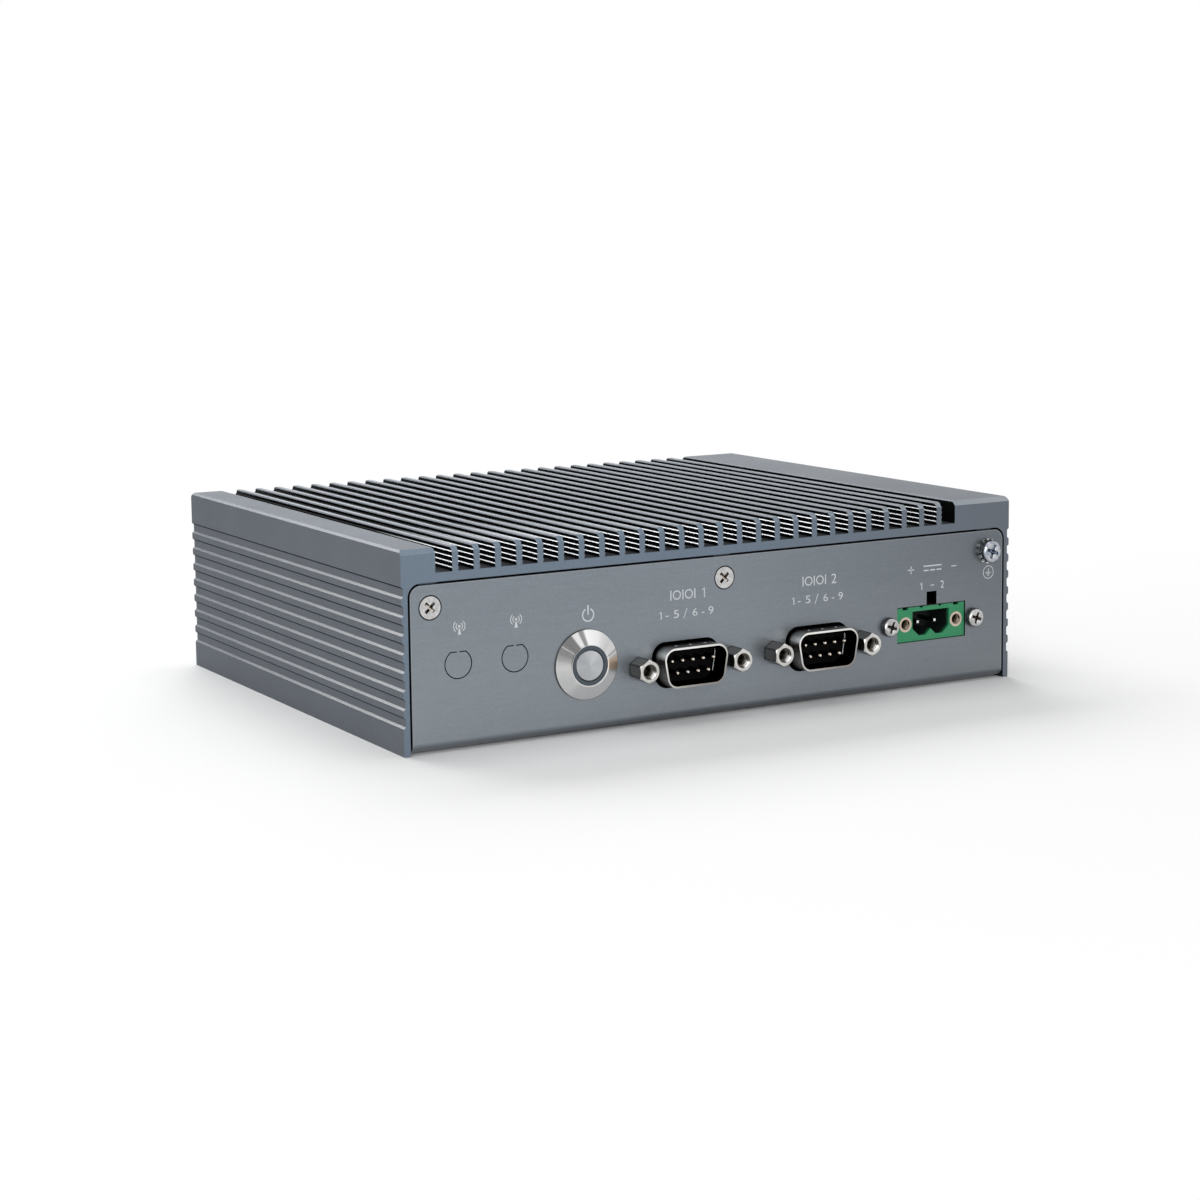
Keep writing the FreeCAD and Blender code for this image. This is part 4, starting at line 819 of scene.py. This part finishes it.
def pin_finish(name, node, light, dark, shank, tip, bevelled=False):
    """Bright tip on a shank with a painted shadow; the tip is the frontmost point of the node.

    On bevelled pins, which stand in one row, the bevels get the painted shadow too, and only the
    middle of the end is bright.
    """
    finish = Finish(name)
    low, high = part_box(node)
    grain = finish.grain(METAL_GRAIN)
    shadow = (finish.axis("Y") - low.y).rising(0.3 * tip, tip)
    if bevelled:
        half = (high.z - low.z) / 2
        spread = (high.x - low.x) / 2 - half
        across = abs(abs(finish.axis("X") - (low.x + high.x) / 2) - spread)
        upward = abs(finish.axis("Z") - (low.z + high.z) / 2)
        begins, ends = BEVEL_BEGINS
        shadow = shadow.above(across.above(upward).rising(begins * half, ends * half))
    shade = finish.mix(shadow, finish.mix(grain, dark, light), shank)
    return finish.surface(shade, Metallic=1.0, Roughness=0.22 + 0.1 * grain)


pin_metal = pin_finish(
    "pin_gold", "serial_1_pins", colour(246, 238, 226), colour(224, 212, 194), colour(40, 32, 24),
    0.3 * MM,
)
supply_pin_metal = pin_finish(
    "pin_tin", "dc_pins", grey(240), grey(224), grey(40), 0.1 * MM, bevelled=True,
)

# %% [markdown]
# ## Supply header
# The header is moulded in green. Its keyed pocket is eight millimetres deep, and behind the mouth
# the green is painted down to near black as painted shade. A thin painted shadow line on its right
# and upper edges stands for the gap between the header and the panel's cut-out.

# %% Supply header
HEADER_LOW, HEADER_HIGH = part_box("dc_header")
HEADER_FACE = HEADER_LOW.y
HEADER_GAP = 0.16 * MM
POCKET_DARKENS = (0.1 * MM, 1.2 * MM)


def header_green():
    finish = Finish("green_plastic")
    grain = finish.grain(PLASTIC_GRAIN)
    inside = (HEADER_HIGH.x - finish.axis("X")).below(HEADER_HIGH.z - finish.axis("Z"))
    # Painted shade deep in the pocket, and the painted shadow line of the gap.
    shade = finish.cover(finish.mix(grain, colour(29, 121, 78), colour(37, 132, 87)), [
        ((finish.axis("Y") - HEADER_FACE).rising(*POCKET_DARKENS), colour(10, 18, 17)),
        (inside.falling(HEADER_GAP, 1.2 * HEADER_GAP), grey(8)),
    ])
    relief = finish.bump(grain, GRAIN_DEPTH, 0.5)
    return finish.surface(shade, Roughness=0.4 + 0.12 * grain, Normal=relief)


INSERT_LOW, INSERT_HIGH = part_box("dc_inserts")
INSERT_RADIUS = (INSERT_HIGH.z - INSERT_LOW.z) / 2
INSERT_BORE = 1.25 * MM


def insert_nickel():
    """Bright sleeve end round a bore painted darker with depth, as painted shade."""
    finish = Finish("insert_nickel")
    grain = finish.grain(METAL_GRAIN)
    half = (INSERT_HIGH.x - INSERT_LOW.x) / 2 - INSERT_RADIUS
    across = abs(finish.axis("X") - SUPPLY.x) - half
    upward = finish.axis("Z") - (INSERT_LOW.z + INSERT_RADIUS)
    bore = length(across, upward).falling(INSERT_BORE, INSERT_BORE + 0.05 * MM)
    bore_depth = (finish.axis("Y") - INSERT_LOW.y).rising(*BORE_DARKENS)
    shade = finish.cover(finish.mix(grain, colour(206, 192, 176), colour(186, 172, 156)), [
        (bore, finish.mix(bore_depth, colour(166, 154, 140), grey(22))),
    ])
    relief = finish.bump(grain, GRAIN_DEPTH, 0.4)
    return finish.surface(shade, Metallic=1.0, Roughness=0.2 + 0.1 * grain, Normal=relief)


FINISHES["green_plastic"] = header_green()
insert_metal = insert_nickel()
print("header face at y in mm:", round(HEADER_FACE / MM, 2))

# %% [markdown]
# ## Screw heads
# A screw head is bright in uneven patches, painted reflections on its face, and its steep sides
# and its cross are painted darker as painted shade. The face and cross of the earth screw are
# painted bluish, a painted reflection. The cross lies deeper than the face and near the axis, so
# the two distances pick it out.

# %% Screw heads
def head_steel(name, middles, reach, sink, wall, bottom, dull=grey(172)):
    """Bright head with painted shade on its steep sides and in its cross; the cross lies within
    reach of an axis and sink below the face.
    """
    finish = Finish(name)
    grain = finish.grain(METAL_GRAIN)
    half = (middles[-1].x - middles[0].x) / 2
    across = abs(finish.axis("X") - (middles[0].x + half)) - half
    upward = finish.axis("Z") - middles[0].z
    radius = length(across, upward)
    depth = finish.axis("Y") - middles[0].y
    cross = depth.rising(sink, sink + 0.12 * MM) * radius.falling(reach, 1.05 * reach)
    mouth = depth.falling(sink + 0.15 * MM, sink + 0.3 * MM)
    steep = (-finish.slope("Y")).falling(0.3, 0.7)
    rings = finish.rings(radius, 0.12 * MM)
    patchy = finish.noise((1100, 1100, 1100), 1.0).rising(0.4, 0.6)
    face = finish.mix(grain * 0.4 + rings * 0.2 + patchy * 0.4, dull, grey(214))
    # Painted shade on the steep sides and in the cross, darkest deep in it.
    shade = finish.cover(face, [
        (steep * 0.85, grey(52)),
        (cross, finish.mix(steep, bottom, wall)),
        (cross * mouth, colour(30, 26, 23)),
    ])
    relief = finish.bump(rings, 0.008 * MM, 0.5)
    return finish.surface(shade, Metallic=1.0, Roughness=0.22 + 0.1 * grain, Normal=relief)


def end_axes(node, radius):
    """Axis points of the first and last screw of a node in a row along X."""
    low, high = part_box(node)
    height = (low.z + high.z) / 2
    return [Vector((low.x + radius, low.y, height)), Vector((high.x - radius, low.y, height))]


M3_HEAD = 2.5 * MM
SUPPLY_HEAD = 2.1 * MM
CROSS_REACH = 1.6 * MM
GROUND_CROSS_REACH = 1.9 * MM
# Wall and bottom shades of the cross, as painted shade; the blue one is also a painted reflection.
PALE_CROSS = (colour(120, 108, 97), colour(206, 199, 191))
DARK_CROSS = (colour(30, 26, 23), colour(62, 54, 48))
BLUE_CROSS = (colour(38, 46, 58), colour(104, 116, 134))
flat_heads = end_axes("front_screws", M3_HEAD)
supply_heads = end_axes("dc_screws", SUPPLY_HEAD)
ground_head = end_axes("ground_screw", M3_HEAD)
HEADS = {
    "front_screws": head_steel(
        "flat_head_steel", flat_heads, CROSS_REACH, 0.08 * MM, *PALE_CROSS,
    ),
    "dc_screws": head_steel(
        "supply_head_steel", supply_heads, CROSS_REACH, 0.1 * MM, *DARK_CROSS, dull=grey(150),
    ),
    "ground_screw": head_steel(
        "ground_head_steel", ground_head, GROUND_CROSS_REACH, 0.1 * MM, *BLUE_CROSS,
        dull=colour(118, 132, 152),
    ),
}
print("screw head finishes:", sorted(HEADS))

# %% [markdown]
# ## Dressing the nodes
# Each node takes the finish of its slot in the record, unless it has a finish of its own.

# %% Dressing the nodes
SLOTS = {row["node"]: row["material_slot"] for row in frame["record"]["subparts"]}
OWN_FINISH = {
    "switch_bezel": bezel_steel,
    "power_button": disc_steel,
    "serial_1_shell": port_metal,
    "serial_2_shell": port_metal,
    "serial_1_insulator": FINISHES["port_black"],
    "serial_2_insulator": FINISHES["port_black"],
    "serial_1_pins": pin_metal,
    "serial_2_pins": pin_metal,
    "jackscrews": jack_metal,
    "dc_inserts": insert_metal,
    "dc_pins": supply_pin_metal,
    # The washer's steel is painted brighter, in coarse light and dark patches, as painted light
    # among its teeth in the shade of the head.
    "ground_washer": metal("washer_steel", grey(240), grey(130), 0.3, 900),
}
OWN_FINISH.update(HEADS)

for node, slot in SLOTS.items():
    materials = frame["nodes"][node].data.materials
    materials.clear()
    materials.append(OWN_FINISH.get(node, FINISHES[slot]))
print("dressed nodes:", len(SLOTS))

# %% [markdown]
# ## Pan heads
# The supply screws and the earth screw have wide pan heads. A copy of each node keeps its shank,
# and every point of the head moves a tenth further from its axis. The copy then stands for the
# node, in the same place.

# %% Pan heads
HEAD_SHARE = 1.1
SHANK_LIMIT = 1.7 * MM
SEAT_BAND = 0.03 * MM
CREASE = math.radians(35)
WELD = 1e-6


def widen_heads(node, axes, seat):
    """Piece that stands for a screw node and has wider heads in front of its seat."""
    bm = bmesh.new()
    bm.from_mesh(frame["nodes"][node].data)
    bmesh.ops.remove_doubles(bm, verts=bm.verts, dist=WELD)
    for vertex in bm.verts:
        axis = min(axes, key=lambda point: abs(point.x - vertex.co.x))
        out = Vector((vertex.co.x - axis.x, 0, vertex.co.z - axis.z))
        in_front = vertex.co.y < seat - SEAT_BAND
        on_seat = abs(vertex.co.y - seat) <= SEAT_BAND and out.length > SHANK_LIMIT
        if in_front or on_seat:
            vertex.co += out * (HEAD_SHARE - 1)
    for face in bm.faces:
        face.smooth = True
    piece = new_piece("wide_" + node, bm, HEADS[node])
    piece.data.set_sharp_from_angle(angle=CREASE)
    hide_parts(node)
    return piece


wide_heads = [
    widen_heads("dc_screws", supply_heads, FRONT),
    widen_heads("ground_screw", ground_head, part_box("ground_washer")[0].y),
]
print("faces of the pan heads:", [len(piece.data.polygons) for piece in wide_heads])

# %% [markdown]
# ## Printed marks
# The panel is screen-printed in pale ink. Each mark is a flat shape a fiftieth of a millimetre
# thick that lies on the panel: arcs are a short edge spun about a middle, bars are scaled
# squares, and numbers are text turned into a mesh. The ports carry a generic serial sign with a
# number, and the supply carries the signs of its poles and of direct current.

# %% Ink and flat shapes
INK_FILM = 0.02 * MM
INK_LIFT = 0.004 * MM
ARC_STEP = math.radians(10)


def ink_finish():
    finish = Finish("pale_ink")
    grain = finish.noise((6000, 6000, 6000))
    shade = finish.mix(grain, colour(176, 180, 184), colour(204, 207, 210))
    return finish.surface(shade, Roughness=0.45 + 0.15 * grain)


INK = ink_finish()


class Print:
    """A flat drawing on the front panel, in millimetres from its middle (x, z)."""

    def __init__(self, name, x, z):
        self.name = name
        self.x = x
        self.z = z
        self.bm = bmesh.new()

    def spot(self, x, z):
        return Vector(((self.x + x) * MM, FRONT, (self.z + z) * MM))

    def square(self):
        """Corners of a new square of side 1, to be moved into place."""
        return bmesh.ops.create_grid(self.bm, x_segments=1, y_segments=1, size=0.5)["verts"]

    def bar(self, x0, x1, z0, z1, top=1.0):
        """Upright bar; top is the width of its upper end as a share of the lower."""
        centre = self.spot((x0 + x1) / 2, (z0 + z1) / 2)
        for corner in self.square():
            share = top if corner.co.y > 0 else 1.0
            across = corner.co.x * (x1 - x0) * MM * share
            upward = corner.co.y * (z1 - z0) * MM
            corner.co = centre + Vector((across, 0, upward))

    def stroke(self, start, end, line):
        """Bar from one point to another."""
        start, end = self.spot(*start), self.spot(*end)
        along = end - start
        beside = along.cross(Vector((0, 1, 0))).normalized() * line * MM
        for corner in self.square():
            corner.co = (start + end) / 2 + along * corner.co.x + beside * corner.co.y

    def arc(self, x, z, radius, start, sweep, line):
        """Line of an arc; angles in degrees from +X towards +Z."""
        centre = self.spot(x, z)
        turn = Matrix.Rotation(-math.radians(start), 3, "Y")
        radii = (radius - line / 2, radius + line / 2)
        tips = [centre + turn @ Vector((reach * MM, 0, 0)) for reach in radii]
        first, last = [self.bm.verts.new(tip) for tip in tips]
        edge = self.bm.edges.new((first, last))
        steps = max(3, round(abs(math.radians(sweep)) / ARC_STEP))
        bmesh.ops.spin(
            self.bm, geom=[first, last, edge], cent=centre, axis=(0, 1, 0), steps=steps,
            angle=-math.radians(sweep), use_merge=abs(sweep) == 360,
        )

    def disc(self, x, z, radius):
        ring = bmesh.ops.create_circle(self.bm, cap_ends=True, segments=20, radius=radius * MM)
        upright = Matrix.Rotation(math.pi / 2, 3, "X")
        bmesh.ops.rotate(self.bm, verts=ring["verts"], matrix=upright)
        bmesh.ops.translate(self.bm, verts=ring["verts"], vec=self.spot(x, z))

    def text(self, body, x, z, height, width=None):
        """Numbers with their lower left corner at (x, z), squeezed to a width if one is given."""
        curve = bpy.data.curves.new(self.name, "FONT")
        curve.body = body
        letters = linked(self.name, curve)
        mesh = bpy.data.meshes.new_from_object(letters)
        bpy.data.objects.remove(letters)
        bpy.data.curves.remove(curve)
        lows = [min(vertex.co[side] for vertex in mesh.vertices) for side in (0, 1)]
        highs = [max(vertex.co[side] for vertex in mesh.vertices) for side in (0, 1)]
        tall = height * MM / (highs[1] - lows[1])
        wide = tall if width is None else width * MM / (highs[0] - lows[0])
        place = Matrix.Translation(self.spot(x, z)) @ Matrix.Rotation(math.pi / 2, 4, "X")
        shrink = Matrix.Diagonal((wide, tall, 1, 1))
        mesh.transform(place @ shrink @ Matrix.Translation((-lows[0], -lows[1], 0)))
        self.bm.from_mesh(mesh)
        bpy.data.meshes.remove(mesh)

    def done(self):
        """Gives the drawing its film thickness and lays it on the panel."""
        bm = self.bm
        bmesh.ops.remove_doubles(bm, verts=bm.verts, dist=WELD)
        film = bmesh.ops.extrude_face_region(bm, geom=list(bm.faces), use_keep_orig=True)
        raised = [item for item in film["geom"] if isinstance(item, bmesh.types.BMVert)]
        bmesh.ops.translate(bm, verts=raised, vec=(0, -INK_FILM, 0))
        bmesh.ops.recalc_face_normals(bm, faces=bm.faces)
        bmesh.ops.translate(bm, verts=bm.verts, vec=(0, INK_LIFT, 0))
        return new_piece(self.name, bm, INK)


print("film thickness in mm:", INK_FILM / MM)

# %% [markdown]
# The four marks below are signs that many such machines share: a radio mast with its waves for
# an aerial socket, a ring with a stroke for the power switch, and the earth symbol.

# %% Aerial, power and earth marks
def aerial_mark(name, x, z):
    """Mast that widens downwards under a dot with two waves on each side."""
    mark = Print(name, x, z)
    mark.bar(-0.4, 0.4, -1.46, -0.1, top=0.36)
    mark.disc(0, 0.41, 0.3)
    for radius, half_sweep in ((0.79, 56), (1.37, 50)):
        for side in (0, 180):
            mark.arc(0, 0.41, radius, side - half_sweep, 2 * half_sweep, 0.2)
    return mark.done()


def power_mark(name, x, z):
    """Open ring with a stroke in its gap."""
    mark = Print(name, x, z)
    mark.arc(0, -0.35, 1.42, 116, 308, 0.32)
    mark.bar(-0.16, 0.16, -0.3, 1.9)
    return mark.done()


def earth_mark(name, x, z):
    """Circle with a stem on three shorter and shorter bars."""
    mark = Print(name, x, z)
    mark.arc(0, 0, 1.55, 0, 360, 0.18)
    mark.bar(-0.09, 0.09, 0.0, 0.95)
    for half, level in ((0.85, -0.05), (0.55, -0.42), (0.25, -0.79)):
        mark.bar(-half, half, level - 0.09, level + 0.09)
    return mark.done()


marks = [
    aerial_mark("aerial_mark_1", -68.8, 27.0),
    aerial_mark("aerial_mark_2", -54.9, 27.2),
    power_mark("power_mark", -36.75, 27.2),
    earth_mark("earth_mark", 76.2, 26.7),
]
print("pictograms:", len(marks))

# %% [markdown]
# Over each port stands a sign for serial data, a row of bars and rings, with the port's number,
# and under it the numbers of the contacts. Over the supply stand its poles and the sign for
# direct current.

# %% Port and supply marks
SMALL = 1.8
LARGE = 2.3


def figure_one(mark, x, z, tall):
    """A 1 with a flag, because the plain font draws only a stroke."""
    mark.bar(x - 0.14, x + 0.14, z, z + tall)
    mark.stroke((x - 0.02, z + tall - 0.14), (x - 0.26 * tall, z + 0.76 * tall), 0.26)


def port_mark(name, x, z, number):
    """Bars and rings of a serial signal, the port's number, and its contact rows."""
    mark = Print(name, x, z)
    for step in (-4.4, -1.2, 2.0):
        mark.bar(step - 0.15, step + 0.15, 0.0, LARGE)
    for step in (-2.8, 0.4):
        mark.arc(step, LARGE / 2, 0.95, 0, 360, 0.28)
    if number == 1:
        figure_one(mark, 4.6, 0.0, LARGE)
    else:
        mark.text(str(number), 3.7, 0.0, LARGE)
    figure_one(mark, -7.0, -4.1, SMALL)
    mark.text("- 5", -5.9, -4.1, SMALL, 3.6)
    mark.stroke((-1.0, -4.4), (-0.1, -2.1), 0.2)
    mark.text("6 - 9", 1.4, -4.1, SMALL, 5.6)
    return mark.done()


def supply_mark(name, x, z):
    """Plus and minus with the sign of direct current, and the two contact numbers."""
    mark = Print(name, x, z)
    mark.bar(-7.4, -5.5, 0.95, 1.2)
    mark.bar(-6.575, -6.325, 0.13, 2.02)
    mark.bar(5.7, 7.2, 0.95, 1.2)
    mark.bar(-2.7, 2.7, 1.55, 1.85)
    for step in (-2.7, -0.75, 1.2):
        mark.bar(step, step + 1.5, 0.5, 0.8)
    figure_one(mark, -3.2, -4.0, SMALL)
    mark.bar(-0.6, 0.5, -3.2, -2.98)
    mark.text("2", 2.4, -4.0, SMALL)
    return mark.done()


marks += [
    port_mark("port_mark_1", -10.7, 28.05, 1),
    port_mark("port_mark_2", 25.6, 28.05, 2),
    supply_mark("supply_mark", 59.1, 28.1),
]
print("marks on the panel:", len(marks))

# %% [markdown]
# ## Threads
# The hex screws and the two sleeves in the supply header are tapped, and their threads show as
# bright rings in a dark bore. One short edge, a vee, is spun several times about the axis while
# it moves along it, and that makes a true screw thread.

# %% Threads
THREAD_DEPTH = 3.0 * MM
THREAD_PITCH = 0.5 * MM
THREAD_HEIGHT = 0.13 * MM
THREAD_ROOT = 0.03 * MM
THREAD_FLAT = 0.05 * MM
THREAD_STEPS = 20


def thread(name, mouths, radius, finish):
    """Internal thread in the bore of each mouth; its root lies inside the wall."""
    bm = bmesh.new()
    turns = round(THREAD_DEPTH / THREAD_PITCH)
    foot = radius + THREAD_ROOT
    vee = [
        Vector((foot, THREAD_FLAT, 0)),
        Vector((radius - THREAD_HEIGHT, THREAD_PITCH / 2, 0)),
        Vector((foot, THREAD_PITCH - THREAD_FLAT, 0)),
    ]
    for mouth in mouths:
        verts = [bm.verts.new(mouth + corner) for corner in vee]
        edges = [bm.edges.new((verts[corner - 1], verts[corner])) for corner in range(3)]
        bmesh.ops.spin(
            bm, geom=verts + edges, cent=mouth, axis=(0, 1, 0), use_merge=False,
            dvec=(0, THREAD_PITCH / THREAD_STEPS, 0), angle=2 * math.pi * turns,
            steps=THREAD_STEPS * turns,
        )
    bmesh.ops.holes_fill(bm, edges=bm.edges, sides=len(vee))
    bmesh.ops.recalc_face_normals(bm, faces=bm.faces)
    return new_piece(name, bm, finish)


jack_mouths = [
    Vector((port.x + side * JACK_SPACING / 2, JACK_TIP + 0.4 * MM, port.z))
    for port in PORTS for side in (-1, 1)
]
insert_mouths = [
    Vector((x, INSERT_LOW.y + 0.1 * MM, INSERT_LOW.z + INSERT_RADIUS))
    for x in (INSERT_LOW.x + INSERT_RADIUS, INSERT_HIGH.x - INSERT_RADIUS)
]
threads = [
    thread("jack_threads", jack_mouths, JACK_BORE, jack_metal),
    thread("insert_threads", insert_mouths, INSERT_BORE, insert_metal),
]
print("thread faces:", sum(len(piece.data.polygons) for piece in threads))

# %% [markdown]
# ## Return spring
# Behind the disc a coil spring closes as the disc goes in, so a stiff copy of it would be pierced
# by the disc. The coil is made again here: a ring of wire is spun about the axis of the switch
# while it moves along it, and its two ends are closed.

# %% Return spring
WIRE = 0.4 * MM
WIRE_SIDES = 10
COIL_TURNS = 3.5
COIL_STEPS = 20


def coil_spring(name, node):
    """Coil that stands for a node, spun from a ring of wire, with its two ends closed."""
    low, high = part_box(node)
    axis = (low + high) / 2
    steps = round(COIL_TURNS * COIL_STEPS)
    bm = bmesh.new()
    ring = bmesh.ops.create_circle(bm, segments=WIRE_SIDES, radius=WIRE / 2)["verts"]
    start = Vector((high.x - WIRE / 2, low.y + WIRE / 2, axis.z))
    bmesh.ops.translate(bm, verts=ring, vec=start)
    bmesh.ops.spin(
        bm, geom=ring + list(bm.edges), cent=axis, axis=(0, 1, 0), use_merge=False,
        dvec=(0, (high.y - low.y - WIRE) / steps, 0), angle=2 * math.pi * COIL_TURNS, steps=steps,
    )
    bmesh.ops.holes_fill(bm, edges=bm.edges, sides=WIRE_SIDES)
    bmesh.ops.recalc_face_normals(bm, faces=bm.faces)
    piece = new_piece(name, bm, FINISHES[SLOTS[node]])
    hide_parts(node)
    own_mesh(piece)
    return piece


spring = coil_spring("return_spring", "switch_spring")
print("faces of the spring:", len(spring.data.polygons))
